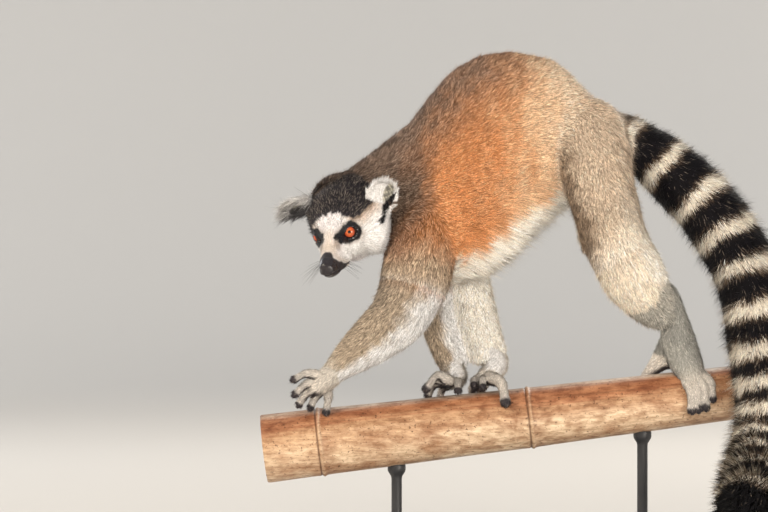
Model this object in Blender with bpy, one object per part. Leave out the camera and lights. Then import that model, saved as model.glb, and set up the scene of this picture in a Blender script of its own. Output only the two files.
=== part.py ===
"""Ring-tailed lemur (Lemur catta), life size, as a still museum model.

The animal walks along a short cut length of bamboo, which a plain display
stand holds up: a flat base and two short rods. Metres, +Z up. The animal
faces -X with its left side to -Y. The origin is the middle of the underside
of the stand's base.

The body is modelled whole, as a union of tapering forms out to the tips of
the coat, and then parted into named pieces by thin cuts.
"""

import math

import bmesh
import bpy
import numpy as np
from mathutils import Matrix, Vector

MM = 0.001
GAP = 0.3 * MM  # between neighbours

# ---------------------------------------------------------------- stand
BASE_LENGTH, BASE_WIDTH, BASE_THICK = 400 * MM, 170 * MM, 14 * MM
BASE_CORNER = 30 * MM
ROD_RADIUS = 5.5 * MM
ROD_FOOT_RADIUS, ROD_FOOT_HEIGHT = 13 * MM, 7 * MM
ROD_X = {"stand_rod_front": -140 * MM, "stand_rod_rear": 118 * MM}

# ---------------------------------------------------------------- bamboo perch
PERCH_LEFT, PERCH_RIGHT = Vector((-0.279, 0, 0.133)), Vector((0.231, 0, 0.194))
PERCH_RADIUS_LEFT, PERCH_RADIUS_RIGHT = 36 * MM, 28 * MM
PERCH_WALL, PERCH_RECESS = 7 * MM, 9 * MM
PERCH_NODES = (0.115, 0.545)  # share of its length
NODE_RIDGE, NODE_HALF = 1.5 * MM, 3 * MM

# ---------------------------------------------------------------- trunk and limbs
# The trunk's ribs, in mm: the back line's x and z, the belly line's x and z,
# and the half width.
TRUNK = (
    (71, 499, 72, 470, 20),
    (53, 517, 76, 430, 39),
    (26, 541, 66, 404, 50),
    (-8, 550, 32, 384, 56),
    (-44, 550, 10, 360, 59),
    (-80, 533, -12, 330, 58),
    (-106, 505, -44, 312, 55),
    (-127, 478, -84, 300, 48),
    (-149, 460, -128, 300, 41),
    (-171, 443, -146, 322, 36),
    (-188, 431, -158, 345, 33),
    (-200, 422, -170, 358, 30),
)

# A limb's stations, in mm: x, y, z, half thickness seen from the side, half width.
UPPER_ARM_LEFT = ((-96, -22, 408, 30, 20), (-108, -36, 372, 38, 24), (-117, -46, 330, 39, 26), (-124, -49, 300, 37, 25))
FOREARM_LEFT = ((-124, -49, 300, 36, 25), (-139, -45, 272, 32, 23), (-163, -38, 250, 27.5, 20), (-187, -30, 231, 21, 17),
                (-203, -24, 217, 15, 12.5), (-213, -21, 208, 11.5, 12))
UPPER_ARM_RIGHT = ((-88, 22, 400, 30, 20), (-92, 36, 352, 30, 24), (-97, 43, 302, 24, 21))
FOREARM_RIGHT = ((-99, 43, 302, 23, 20), (-98, 37, 268, 19, 18), (-88, 28, 238, 17.5, 16), (-79, 18, 214, 14, 12),
                 (-75, 13, 205, 11, 11))
THIGH_LEFT = ((48, -30, 478, 44, 24), (62, -42, 440, 42, 32), (70, -56, 405, 37, 33), (79, -70, 368, 35, 32),
              (88, -76, 340, 35, 29))
SHANK_LEFT = ((88, -76, 342, 34, 28), (104, -62, 314, 35, 25), (125, -38, 284, 25, 19), (139, -20, 268, 14, 13))
INNER_THIGH_LEFT = ((38, -12, 412, 20, 22), (48, -24, 378, 18, 20), (63, -44, 345, 14, 14))
THIGH_RIGHT = ((18, 28, 474, 44, 24), (4, 42, 430, 42, 28), (-22, 50, 388, 38, 27), (-46, 52, 350, 31, 24))
SHANK_RIGHT = ((-50, 52, 352, 29, 23), (-64, 46, 322, 25, 21), (-58, 37, 288, 23, 18), (-50, 28, 256, 22, 16),
               (-43, 21, 234, 21, 14), (-41, 17, 222, 17, 12))

# ---------------------------------------------------------------- tail
# x, y, z and the radius of the coat, in mm.
TAIL = (
    (58, 0, 485, 15), (80, -1, 475, 18), (107, -7, 457, 24), (142, -13, 428, 32), (180, -22, 390, 34),
    (206, -31, 351, 34), (222, -40, 315, 34), (231, -49, 275, 34), (236, -58, 237, 35), (241, -66, 200, 35),
    (241, -74, 169, 35), (235, -88, 141, 36), (227, -110, 119, 36), (218, -136, 104, 34), (208, -162, 89, 31),
    (199, -186, 74, 23),
)
TAIL_CUTS = (1, 4, 7, 10, 15)  # the stations at which it is parted

# ---------------------------------------------------------------- head
# It is turned to the animal's left, bent down and tilted a little.
HEAD_CENTRE = Vector((-0.1966, -0.033, 0.366))
HEAD_YAW, HEAD_PITCH, HEAD_ROLL = math.radians(74), math.radians(26), math.radians(9)
NAPE, NAPE_RADIUS = Vector((-0.196, -0.001, 0.385)), 40 * MM
# x (to the nose), z (middle), half height and half width, in mm, in the head's own frame.
SKULL = (
    (-44, 5, 26, 28), (-30, 4, 34, 35), (-14, 3, 36.5, 38), (2, 2, 36, 37), (15, 1, 32, 34),
    (27, -0.5, 26.5, 28), (37, -3.5, 20, 20), (48, -7.5, 15, 15), (58, -10, 12.5, 12.6), (67, -11.3, 11.2, 11.6),
    (75, -12, 9.2, 9.7),
)
# The ruff is fuller on the side to which the head is turned; 1 is the left.
CHEEK = {1: Vector((-9, 29, -15)), -1: Vector((-11, -20, -13))}
CHEEK_SIZE = {1: Vector((27, 19, 26)), -1: Vector((25, 17, 22))}
CHIN, CHIN_SIZE = Vector((50, 0, -14.5)), Vector((19, 13.5, 10.5))
THROAT, THROAT_SIZE = Vector((-18, 0, -22)), Vector((30, 31, 22))
BROW, BROW_SIZE = Vector((22.5, 16, 5.5)), 12.3
EYE, EYE_RADIUS = Vector((25.5, 16.3, 3.8)), 9.2
EYE_OUT, EYE_UP = math.radians(30), math.radians(8)  # where each eye looks
EYE_OPENING = 7.4  # radius of the opening between the lids
# Each ear turns by itself; 1 is the left.
EAR_ROOT = {1: Vector((-10, 29, 15)), -1: Vector((-10, -30, 22))}
EAR_WAY = {1: Vector((-0.25, 0.86, 0.42)), -1: Vector((0.06, -0.98, -0.14))}
EAR_FACE = {1: Vector((0.94, 0.31, -0.15)), -1: Vector((0.90, -0.30, -0.10))}
EAR_CLEAR = 6.5  # how far along it an ear stands clear of the head's coat
EAR_LENGTH, EAR_WIDTH, EAR_THICK, EAR_CUP = 38, 18.0, 4.6, 8.0
MOUTH_CORNER, MOUTH_FRONT = Vector((40, 0, -18.5)), Vector((79, 0, -17))

# ---------------------------------------------------------------- hands and feet
# Each digit: its root, its middle joint and its tip, in mm, and its radius.
HAND_LEFT = {
    "palm": ((-206, -23, 214, 12, 13), (-214, -20, 206, 11.5, 14), (-222, -17, 199, 9, 14), (-226, -16, 195, 6, 12)),
    "digits": (
        ((-220, -25, 211), (-234, -28, 215), (-247, -30, 208), 4.2),
        ((-222, -21, 206), (-237, -24, 205), (-246, -26, 193), 4.2),
        ((-221, -16, 201), (-235, -17, 194), (-244, -15, 181.5), 4.2),
        ((-218, -11, 197), (-227, -12, 189), (-229, -13, 180.5), 4.2),
        ((-213, -8, 201), (-211, -17, 192), (-213, -22, 174), 4.2),
    ),
}
HAND_RIGHT = {
    "palm": ((-76, 14, 208, 10.5, 11.5), (-79, 10, 204, 8.5, 13), (-83, 7, 202.5, 6, 12.5)),
    "digits": (
        ((-82, -1, 203), (-97, -5, 210), (-109, -8, 196), 4.2),
        ((-86, 6, 203), (-99, 7, 205), (-109, 9, 196.5), 4.2),
        ((-86, 13, 202), (-99, 18, 200), (-107, 23, 188), 4.2),
        ((-82, 19, 201), (-91, 28, 195), (-95, 34, 179), 4.2),
        ((-76, 1, 202), (-76, -10, 203), (-76, -20, 195), 4.2),
    ),
}
FOOT_LEFT = {
    "palm": ((150, -7, 288, 8.5, 10), (152, -5, 272, 13, 12), (154, -5, 252, 18, 13), (159, -10, 233, 18.5, 14),
             (166, -17, 216, 16, 13), (170, -21, 207, 12, 10)),
    "digits": (
        ((152, 0, 228), (136, 12, 219), (122, 24, 202), 6.0),
        ((162, -20, 206), (165, -33, 195), (166, -34, 175), 4.6),
        ((168, -20, 208), (172, -34, 196), (173, -33.5, 176), 4.6),
        ((173, -19, 209), (179, -33, 199), (181, -33.5, 178), 4.6),
        ((177, -17, 212), (186, -30, 203), (188, -32, 187), 4.4),
    ),
}
FOOT_RIGHT = {
    "palm": ((-31, 15, 220, 13, 12), (-38, 13, 215, 12, 13), (-45, 12, 209, 10.5, 14), (-51, 12, 205, 8, 14)),
    "digits": (
        ((-42, 0, 208), (-31, -18, 202), (-27, -33, 183), 5.4),
        ((-48, 3, 204), (-50, -9, 206), (-50, -18, 199), 4.2),
        ((-54, 8, 203), (-58, -1, 205), (-59, -11, 200.5), 4.2),
        ((-54, 20, 202), (-59, 31, 195), (-60, 38, 179), 4.4),
        ((-47, 24, 202), (-50, 34, 193), (-51, 39, 177), 4.2),
    ),
}

# ---------------------------------------------------------------- mesh sizes
RING, STEPS = 24, 4
VOXEL = {"body": 3.0 * MM, "head": 1.7 * MM, "hand": 1.05 * MM}
FACES = {"body": 1750, "head": 950, "hand": 240}


def clear_scene():
    for obj in list(bpy.data.objects):
        bpy.data.objects.remove(obj, do_unlink=True)


def material(name, colour, roughness, metallic=0.0):
    made = bpy.data.materials.new(name)
    made.use_nodes = True
    shader = made.node_tree.nodes["Principled BSDF"]
    shader.inputs["Base Color"].default_value = (*colour, 1)
    shader.inputs["Roughness"].default_value = roughness
    shader.inputs["Metallic"].default_value = metallic
    return made


def add(name, mesh, finish, smooth=True):
    obj = bpy.data.objects.new(name, mesh)
    bpy.context.scene.collection.objects.link(obj)
    mesh.materials.clear()
    mesh.materials.append(finish)
    if smooth:
        mesh.shade_smooth()
        mesh.set_sharp_from_angle(angle=math.radians(50))
    return obj


def guide(mesh):
    """An object that only takes part in the making."""
    obj = bpy.data.objects.new("guide", mesh)
    bpy.context.scene.collection.objects.link(obj)
    obj.hide_render, obj.display_type = True, "WIRE"
    return obj


def evaluated(obj):
    graph = bpy.context.evaluated_depsgraph_get()
    graph.update()
    return bpy.data.meshes.new_from_object(obj.evaluated_get(graph), depsgraph=graph)


def apply(mesh, kind, **settings):
    """The mesh after one modifier."""
    obj = guide(mesh)
    modifier = obj.modifiers.new(kind, kind)
    for key, value in settings.items():
        setattr(modifier, key, value)
    done = evaluated(obj)
    bpy.data.objects.remove(obj, do_unlink=True)
    return done


def boolean(mesh, operation, other):
    cutter = guide(other)
    done = apply(mesh, "BOOLEAN", operation=operation, object=cutter, solver="EXACT")
    bpy.data.objects.remove(cutter, do_unlink=True)
    return done


def mesh_of(bm):
    bmesh.ops.recalc_face_normals(bm, faces=bm.faces)
    if bm.calc_volume(signed=True) < 0:
        bmesh.ops.reverse_faces(bm, faces=bm.faces)
    mesh = bpy.data.meshes.new("form")
    bm.to_mesh(mesh)
    bm.free()
    return mesh


def loft(rings):
    """A closed form through rings of equal count, its ends closed by a point at each ring's middle."""
    bm = bmesh.new()
    rows = [[bm.verts.new(point) for point in ring] for ring in rings]
    for low, high in zip(rows, rows[1:]):
        for i, corner in enumerate(low):
            j = (i + 1) % len(low)
            bm.faces.new((corner, low[j], high[j], high[i]))
    for row in (rows[0], rows[-1]):
        middle = bm.verts.new(sum((v.co for v in row), Vector()) / len(row))
        for i, corner in enumerate(row):
            bm.faces.new((corner, row[(i + 1) % len(row)], middle))
    return mesh_of(bm)


def curve_through(points, steps=STEPS):
    """Catmull-Rom values between the rows of points."""
    p = np.asarray(points, float)
    p = np.vstack([2 * p[0] - p[1], p, 2 * p[-1] - p[-2]])
    rows = []
    for i in range(1, len(p) - 2):
        for t in np.arange(steps) / steps:
            a, b, c, d = p[i - 1 : i + 3]
            rows.append(0.5 * (2 * b + (c - a) * t + (2 * a - 5 * b + 4 * c - d) * t**2 + (3 * b - a - 3 * c + d) * t**3))
    return np.array(rows + [p[-2]])


def rounded(rows, sizes):
    """Closes a run of stations with domed ends. rows hold a place, then the sizes from column `sizes` on."""
    caps = []
    for end, inner in ((0, 1), (-1, -2)):
        way = rows[end][:3] - rows[inner][:3]
        way = way / np.linalg.norm(way)
        reach = 0.75 * float(np.mean(rows[end][sizes:]))
        cap = []
        for t in (0.4, 0.7, 0.9, 0.985):
            row = rows[end].copy()
            row[:3] += way * reach * t
            row[sizes:] *= math.sqrt(1 - t * t)
            cap.append(row)
        caps.append(cap)
    return np.array(caps[0][::-1] + list(rows) + caps[1])


def limb(stations, across=Vector((0, 1, 0)), steps=STEPS):
    """A tapering limb. Stations in mm: x, y, z, half thickness, half width along `across`."""
    rows = rounded(curve_through(stations, steps), 3) * MM
    rings = []
    for i, row in enumerate(rows):
        way = Vector(rows[min(i + 1, len(rows) - 1)][:3] - rows[max(i - 1, 0)][:3]).normalized()
        up = way.cross(across).normalized()
        side = up.cross(way).normalized()
        ring = []
        for k in range(RING):
            a = math.tau * k / RING
            ring.append(Vector(row[:3]) + up * row[3] * math.cos(a) + side * row[4] * math.sin(a))
        rings.append(ring)
    return loft(rings)


def round_limb(stations, steps=STEPS):
    return limb([(*station, station[-1]) for station in stations], steps=steps)


def trunk():
    """The trunk from its ribs, each an ellipse between the back line and the belly line."""
    ribs = curve_through(TRUNK)
    rings = []
    for i, (bx, bz, vx, vz, half) in enumerate(ribs * MM):
        back, belly = Vector((bx, 0, bz)), Vector((vx, 0, vz))
        middle, up = (back + belly) / 2, (back - belly) / 2
        rings.append([middle + up * math.cos(math.tau * k / RING) + Vector((0, half * math.sin(math.tau * k / RING), 0))
                      for k in range(RING)])
    return loft(rings)


def ball(middle, sizes, turn=Matrix.Identity(3), detail=16):
    bm = bmesh.new()
    bmesh.ops.create_uvsphere(bm, u_segments=2 * detail, v_segments=detail, radius=1)
    for v in bm.verts:
        v.co = middle + turn @ Vector([c * s for c, s in zip(v.co, sizes)])
    return mesh_of(bm)


def joined(meshes):
    bm = bmesh.new()
    for mesh in meshes:
        bm.from_mesh(mesh)
    mesh = bpy.data.meshes.new("joined")
    bm.to_mesh(mesh)
    bm.free()
    return mesh


def fused(meshes, voxel, faces, smoothing=6):
    """One closed surface round all the forms, smoothed and brought down to about this many triangles."""
    mesh = apply(joined(meshes), "REMESH", mode="VOXEL", voxel_size=voxel, use_smooth_shade=True)
    mesh = apply(mesh, "SMOOTH", factor=0.5, iterations=smoothing)
    mesh = apply(mesh, "TRIANGULATE")
    ratio = min(1.0, faces / len(mesh.polygons))
    return apply(mesh, "DECIMATE", ratio=ratio, use_collapse_triangulate=True)


def slab(start, end, half, depth, grow=0.0):
    """A box from start to end. half is its reach in the plane of the limb, depth its reach along Y."""
    way = (end - start).normalized()
    side = Vector((0, 1, 0))
    up = way.cross(side).normalized()
    side = up.cross(way)
    bm = bmesh.new()
    bmesh.ops.create_cube(bm, size=2)
    length = (end - start).length / 2 + grow
    for v in bm.verts:
        v.co = (start + end) / 2 + way * v.co.x * length + up * v.co.y * (half + grow) + side * v.co.z * (depth + grow)
    return mesh_of(bm)


def islands(mesh):
    """The mesh's closed pieces, the largest first."""
    bm = bmesh.new()
    bm.from_mesh(mesh)
    left, found = set(bm.verts), []
    while left:
        todo, piece = [left.pop()], []
        while todo:
            v = todo.pop()
            piece.append(v)
            for edge in v.link_edges:
                other = edge.other_vert(v)
                if other in left:
                    left.remove(other)
                    todo.append(other)
        found.append(piece)
    found.sort(key=len, reverse=True)
    keep = set(found[0])
    bmesh.ops.delete(bm, geom=[v for v in bm.verts if v not in keep], context="VERTS")
    bmesh.ops.dissolve_limit(bm, angle_limit=math.radians(0.2), verts=bm.verts, edges=bm.edges)
    bmesh.ops.dissolve_degenerate(bm, dist=1e-6, edges=bm.edges)
    bmesh.ops.triangulate(bm, faces=bm.faces)
    sizes = [len(piece) for piece in found]
    whole = mesh_of(bm)
    return whole, sizes


def largest(mesh):
    return islands(mesh)[0]


def inflated(mesh, by):
    return apply(mesh.copy(), "DISPLACE", strength=by, mid_level=0.0, direction="NORMAL")


def carve(rest, box):
    """Parts a piece from the rest along a box(grow), leaving the gap between them."""
    piece = boolean(rest.copy(), "INTERSECT", box(0.0))
    return largest(piece), largest(boolean(rest, "DIFFERENCE", box(GAP)))


# ---------------------------------------------------------------- the head's frame
def head_turn():
    """Rotation from the head's own axes (x to the nose, y to its left, z up) to the world's."""
    facing = Matrix.Rotation(math.pi + HEAD_YAW, 3, "Z")
    nod = Matrix.Rotation(HEAD_PITCH, 3, "Y")
    tilt = Matrix.Rotation(HEAD_ROLL, 3, "X")
    return facing @ nod @ tilt


TURN = head_turn()


def on_head(x, y=None, z=None):
    """A place on the head, from mm in its own frame."""
    local = Vector(x) if y is None else Vector((x, y, z))
    return HEAD_CENTRE + TURN @ local * MM


def mirrored(v, side):
    return Vector((v[0], v[1] * side, v[2]))


def skull_form():
    rows = rounded(curve_through([(x, 0, z, high, wide) for x, z, high, wide in SKULL]), 3)
    rings = []
    for x, _, z, high, wide in rows:
        rings.append([on_head(x, wide * math.sin(a), z + high * math.cos(a))
                      for a in (math.tau * k / RING for k in range(RING))])
    return loft(rings)


def eye_way(side):
    return Vector((math.cos(EYE_OUT) * math.cos(EYE_UP), side * math.sin(EYE_OUT) * math.cos(EYE_UP), math.sin(EYE_UP)))


def eye_opening(side):
    """The flared opening between the lids."""
    way = eye_way(side)
    across = way.orthogonal().normalized()
    other = way.cross(across)
    rings = []
    for along, radius in ((3.0, EYE_OPENING - 0.4), (EYE_RADIUS - 3.0, EYE_OPENING), (EYE_RADIUS + 12, EYE_OPENING + 5)):
        middle = mirrored(EYE, side) + way * along
        rings.append([on_head(middle + (across * math.cos(a) + other * math.sin(a)) * radius)
                      for a in (math.tau * k / 14 for k in range(14))])
    return loft(rings)


def ear_form(side):
    """A rounded cup of even thickness, pointed a little at its tip."""
    way, face = EAR_WAY[side].normalized(), EAR_FACE[side]
    face = (face - way * face.dot(way)).normalized()
    wide = way.cross(face)
    root = EAR_ROOT[side]
    front, back = [], []
    rows, columns = 11, 10
    for i in range(rows):
        t = i / (rows - 1)
        along = EAR_LENGTH * (t * 1.25 - 0.25)
        half = EAR_WIDTH * math.sqrt(max(0.0, 1 - (max(0.0, t - 0.42) / 0.60) ** 2)) * (0.72 + 0.28 * min(1, t / 0.42))
        line_f, line_b = [], []
        for j in range(columns + 1):
            s = 2 * j / columns - 1
            sink = EAR_CUP * (1 - s * s) * math.sin(math.pi * min(1, 0.15 + 0.85 * (1 - t)) ** 0.9)
            thick = EAR_THICK * (0.45 + 0.55 * (1 - s * s)) * (1 - 0.25 * t)
            middle = root + way * along + wide * half * s - face * sink
            line_f.append(middle + face * thick / 2)
            line_b.append(middle - face * thick / 2)
        front.append(line_f)
        back.append(line_b)
    rings = [[on_head(p) for p in f + b[::-1]] for f, b in zip(front, back)]
    return loft(rings)


def nape_form():
    return ball(NAPE, Vector((1, 1, 1)) * NAPE_RADIUS)


def head_mesh():
    forms = [skull_form(), ball(on_head(THROAT), THROAT_SIZE * MM, TURN), ball(on_head(CHIN), CHIN_SIZE * MM, TURN),
             nape_form()]
    for side in (1, -1):
        forms.append(ball(on_head(CHEEK[side]), CHEEK_SIZE[side] * MM, TURN))
        forms.append(ball(on_head(mirrored(BROW, side)), Vector((1, 1, 1)) * BROW_SIZE * MM))
        forms.append(ear_form(side))
    return fused(forms, VOXEL["head"], FACES["head"], smoothing=3)


def head_box(low, high):
    """A box in the head's frame from corner to corner in mm, as a function of how much it grows."""
    def box(grow):
        bm = bmesh.new()
        bmesh.ops.create_cube(bm, size=1)
        g = grow / MM
        for v in bm.verts:
            v.co = on_head(*(l - g if c < 0 else h + g for c, l, h in zip(v.co, low, high)))
        return mesh_of(bm)
    return box


def way_box(start, way, up, length, half_up, half_side):
    """A box on the head that runs from start along way, in mm, as a function of how much it grows."""
    way = way.normalized()
    up = (up - way * up.dot(way)).normalized()
    side = way.cross(up)

    def box(grow):
        bm = bmesh.new()
        bmesh.ops.create_cube(bm, size=2)
        g = grow / MM
        for v in bm.verts:
            v.co = on_head(start + way * (length / 2 + v.co.x * (length / 2 + g)) + up * v.co.y * (half_up + g)
                           + side * v.co.z * (half_side + g))
        return mesh_of(bm)
    return box


def digit(root, joint, tip, radius):
    """A finger or toe: slim at its middle, with a pad at its tip."""
    points = curve_through([root, joint, tip], 5)
    last = len(points) - 1
    rows = []
    for i, point in enumerate(points):
        t = i / last
        swell = 1.05 - 0.34 * math.sin(math.pi * min(1, t * 1.08)) - 0.10 * t
        rows.append((*point, radius * swell))
    return round_limb(rows, steps=1)


def extremity(shape):
    forms = [limb(shape["palm"])]
    for root, joint, tip, radius in shape["digits"]:
        forms.append(digit(root, joint, tip, radius))
    return forms


# ---------------------------------------------------------------- perch and stand
def perch_radius(t):
    return PERCH_RADIUS_LEFT + (PERCH_RADIUS_RIGHT - PERCH_RADIUS_LEFT) * t


def perch_mesh(grow=0.0, recess=True):
    """The bamboo: a taper with a ridge at each of its nodes and a shallow hollow in each cut end."""
    axis = PERCH_RIGHT - PERCH_LEFT
    length = axis.length
    way = axis.normalized()
    side = Vector((0, 1, 0))
    up = way.cross(side).normalized()
    half = NODE_HALF / length
    profile = [(0.0, perch_radius(0))]
    for node in PERCH_NODES:
        r = perch_radius(node)
        profile += [(node - 2.2 * half, r), (node, r + NODE_RIDGE), (node + 2.2 * half, r)]
    profile.append((1.0, perch_radius(1)))
    if recess:
        deep = PERCH_RECESS / length
        inner = [(0.0, perch_radius(0) - PERCH_WALL), (deep, perch_radius(0) - PERCH_WALL)]
        outer = [(1.0 - deep, perch_radius(1) - PERCH_WALL), (1.0, perch_radius(1) - PERCH_WALL)]
        profile = inner[::-1] + profile + outer[::-1]
    rings = []
    for t, r in profile:
        rings.append([PERCH_LEFT + axis * t + (up * math.cos(a) + side * math.sin(a)) * (r + grow)
                      for a in (math.tau * k / 18 for k in range(18))])
    return loft(rings)


def perch_at(x):
    t = (x - PERCH_LEFT.x) / (PERCH_RIGHT.x - PERCH_LEFT.x)
    return PERCH_LEFT + (PERCH_RIGHT - PERCH_LEFT) * t, perch_radius(t)


def cylinder(bottom, top, radius, sides=12):
    bm = bmesh.new()
    bmesh.ops.create_cone(bm, cap_ends=True, segments=sides, radius1=radius, radius2=radius, depth=top.z - bottom.z)
    bmesh.ops.translate(bm, verts=bm.verts, vec=(bottom + top) / 2)
    return mesh_of(bm)


def base_mesh():
    bm = bmesh.new()
    bmesh.ops.create_cube(bm, size=1)
    for v in bm.verts:
        v.co = Vector((v.co.x * BASE_LENGTH, v.co.y * BASE_WIDTH, (v.co.z + 0.5) * BASE_THICK))
    corners = [e for e in bm.edges if abs(e.verts[0].co.z - e.verts[1].co.z) > BASE_THICK / 2]
    bmesh.ops.bevel(bm, geom=corners, offset=BASE_CORNER, segments=4, profile=0.5, affect="EDGES")
    rim = [e for e in bm.edges if all(v.co.z > BASE_THICK * 0.9 for v in e.verts)]
    bmesh.ops.bevel(bm, geom=rim, offset=2.5 * MM, segments=2, profile=0.5, affect="EDGES")
    return mesh_of(bm)


def rod_mesh(x, perch):
    """A rod with a round foot on the base and a seat cut to the bamboo's underside."""
    axis, radius = perch_at(x)
    foot, top = Vector((x, 0, BASE_THICK + GAP)), Vector((x, 0, axis.z - 0.6 * radius))
    rod = cylinder(foot, top, ROD_RADIUS)
    foot_disc = cylinder(foot, foot + Vector((0, 0, ROD_FOOT_HEIGHT)), ROD_FOOT_RADIUS)
    seat = cylinder(Vector((x, 0, axis.z - radius - 6 * MM)), top, 9.5 * MM)
    rod = boolean(boolean(rod, "UNION", foot_disc), "UNION", seat)
    return largest(boolean(rod, "DIFFERENCE", perch))


# ---------------------------------------------------------------- parting the body
def point(station):
    return Vector(station[:3]) * MM


def limb_box(start, end, half, depth):
    return lambda grow: slab(start, end, half, depth, grow)


def limb_cut(stations, first, last, before=0.0, beyond=0.0, shift=Vector((0, 0, 0)), room=6 * MM):
    """A box round a limb from one of its stations to another, as a function of how much it grows."""
    start, end = point(stations[first]) + shift, point(stations[last]) + shift
    way = (end - start).normalized()
    half = max(station[3] for station in stations[first:]) * MM + room
    depth = max(station[-1] for station in stations[first:]) * MM + room
    return lambda grow: slab(start - way * before, end + way * beyond, half, depth, grow)


def part_body(body):
    """The body's nodes, each parted from what is left by a box."""
    nodes = {}

    def take(name, box):
        nonlocal body
        nodes[name], body = carve(body, box)

    # The tail's lengths, from its tip upward.
    for i in range(len(TAIL_CUTS) - 1, 0, -1):
        first, last = TAIL_CUTS[i - 1 : i + 1]
        take(f"tail_{i}", limb_cut(TAIL, first, last, beyond=0.03))

    for side, sign, shank, thigh, forearm, upper in (
        ("left", -1, SHANK_LEFT, THIGH_LEFT, FOREARM_LEFT, UPPER_ARM_LEFT),
        ("right", 1, SHANK_RIGHT, THIGH_RIGHT, FOREARM_RIGHT, UPPER_ARM_RIGHT),
    ):
        inner = Vector((0, sign * 0.012, 0))
        take(f"shank_{side}", limb_cut(shank, 0, -1, beyond=0.03))
        take(f"forearm_{side}", limb_cut(forearm, 0, -1, beyond=0.03))
        take(f"thigh_{side}", limb_cut(thigh, 1, -1, beyond=0.06, shift=inner))
        take(f"upper_arm_{side}", limb_cut(upper, 1, -1, beyond=0.06, shift=inner))
    # The trunk's three lengths and the neck.
    take("neck", limb_box(Vector((-0.140, 0, 0.395)), Vector((-0.30, 0, 0.340)), 0.15, 0.12))
    take("chest", limb_box(Vector((-0.062, 0, 0.420)), Vector((-0.20, 0, 0.330)), 0.22, 0.12))
    take("rump", limb_box(Vector((0.012, 0, 0.455)), Vector((0.20, 0, 0.545)), 0.22, 0.12))
    nodes["abdomen"] = largest(body)
    return nodes


def build():
    clear_scene()
    coat = {
        "grey": material("coat_grey", (0.34, 0.30, 0.27), 0.9),
        "rufous": material("coat_rufous", (0.42, 0.22, 0.12), 0.9),
        "white": material("coat_white", (0.78, 0.74, 0.66), 0.9),
        "tail": material("coat_tail", (0.16, 0.14, 0.13), 0.9),
    }
    skin = material("dark_skin", (0.02, 0.018, 0.018), 0.45)
    iris = material("eye", (0.55, 0.10, 0.02), 0.15)
    bamboo = material("bamboo", (0.52, 0.34, 0.18), 0.5)
    metal = material("stand_metal", (0.03, 0.03, 0.032), 0.4, 0.6)

    perch = perch_mesh()
    clearance = perch_mesh(grow=GAP, recess=False)
    add("perch_bamboo", perch.copy(), bamboo)
    add("stand_base", base_mesh(), metal)
    for name, x in ROD_X.items():
        add(name, rod_mesh(x, clearance.copy()), metal)

    # Head, with its ears, nose pad, jaw and eyes.
    head, ears = head_mesh(), {}
    for side, sign in (("left", 1), ("right", -1)):
        way, root = EAR_WAY[sign].normalized(), EAR_ROOT[sign]
        box = way_box(root + way * EAR_CLEAR, way, EAR_FACE[sign], 60, 20, 23)
        ears[side], head = carve(head, box)
        if sign == -1:  # both ears are off
            nape = head_box((-120, -90, -90), (-24, 90, 90))
            room = largest(boolean(apply(head.copy(), "DECIMATE", ratio=0.45), "DIFFERENCE", nape(0.0)))
        add(f"ear_{side}", ears[side], coat["white"])
        centre = on_head(mirrored(EYE, sign))
        socket = ball(centre, Vector((1, 1, 1)) * (EYE_RADIUS * MM + GAP), TURN, detail=6)
        head = boolean(head, "DIFFERENCE", eye_opening(sign))
        head = largest(boolean(head, "DIFFERENCE", socket))
        add(f"eye_{side}", ball(centre, Vector((1, 1, 1)) * EYE_RADIUS * MM, TURN, detail=6), iris)
    nose, head = carve(head, head_box((67, -30, -15.5), (100, 30, 20)))
    along = MOUTH_FRONT - MOUTH_CORNER
    jaw, head = carve(head, way_box(MOUTH_CORNER - Vector((0, 0, 15)), along, Vector((0, 0, 1)), 60, 15, 30))
    add("nose", nose, skin)
    add("jaw", jaw, coat["white"])

    # The rest of the body. The head is cut clear of the neck that it grows from.
    body = fused(
        [trunk(), round_limb(TAIL)]
        + [limb(s) for s in (UPPER_ARM_LEFT, FOREARM_LEFT, UPPER_ARM_RIGHT, FOREARM_RIGHT,
                             THIGH_LEFT, SHANK_LEFT, THIGH_RIGHT, SHANK_RIGHT)]
        + [limb(INNER_THIGH_LEFT), largest(boolean(nape_form(), "INTERSECT", head_box((-120, -90, -90), (-25, 90, 90))(0)))],
        VOXEL["body"], FACES["body"],
    )
    head = largest(boolean(head, "DIFFERENCE", nape(0.0)))
    add("head", head, coat["grey"])
    body = largest(boolean(body, "DIFFERENCE", head_box((-24, -50, -40), (-18, 40, 38))(GAP)))
    for mesh in (room, ears["left"], ears["right"]):
        body = largest(boolean(body, "DIFFERENCE", inflated(mesh, 1.4 * MM)))

    hands = {"hand_left": HAND_LEFT, "hand_right": HAND_RIGHT, "foot_left": FOOT_LEFT, "foot_right": FOOT_RIGHT}
    starts = {"hand_left": FOREARM_LEFT, "hand_right": FOREARM_RIGHT, "foot_left": SHANK_LEFT, "foot_right": SHANK_RIGHT}
    for name, shape in hands.items():
        run = starts[name]
        end, before = point(run[-1]), point(run[-2])
        way = (end - before).normalized()
        cut = end - way * 0.002
        beyond = limb_box(cut, cut + way * 0.2, 0.15, 0.10)
        hand = fused(extremity(shape), VOXEL["hand"], FACES["hand"], smoothing=2)
        hand = boolean(hand, "INTERSECT", beyond(-GAP / 2))
        hand = largest(boolean(hand, "DIFFERENCE", clearance.copy()))
        add(name, hand, coat["white"])
        near = limb_box(cut, cut + way * 0.06, 0.04, 0.035)
        body = largest(boolean(body, "DIFFERENCE", near(GAP / 2)))

    colours = {"tail": "tail", "abdomen": "rufous", "chest": "rufous", "neck": "grey", "rump": "grey"}
    for name, mesh in part_body(body).items():
        add(name, mesh, coat[colours.get(name.split("_")[0], "grey")])


build()
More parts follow.
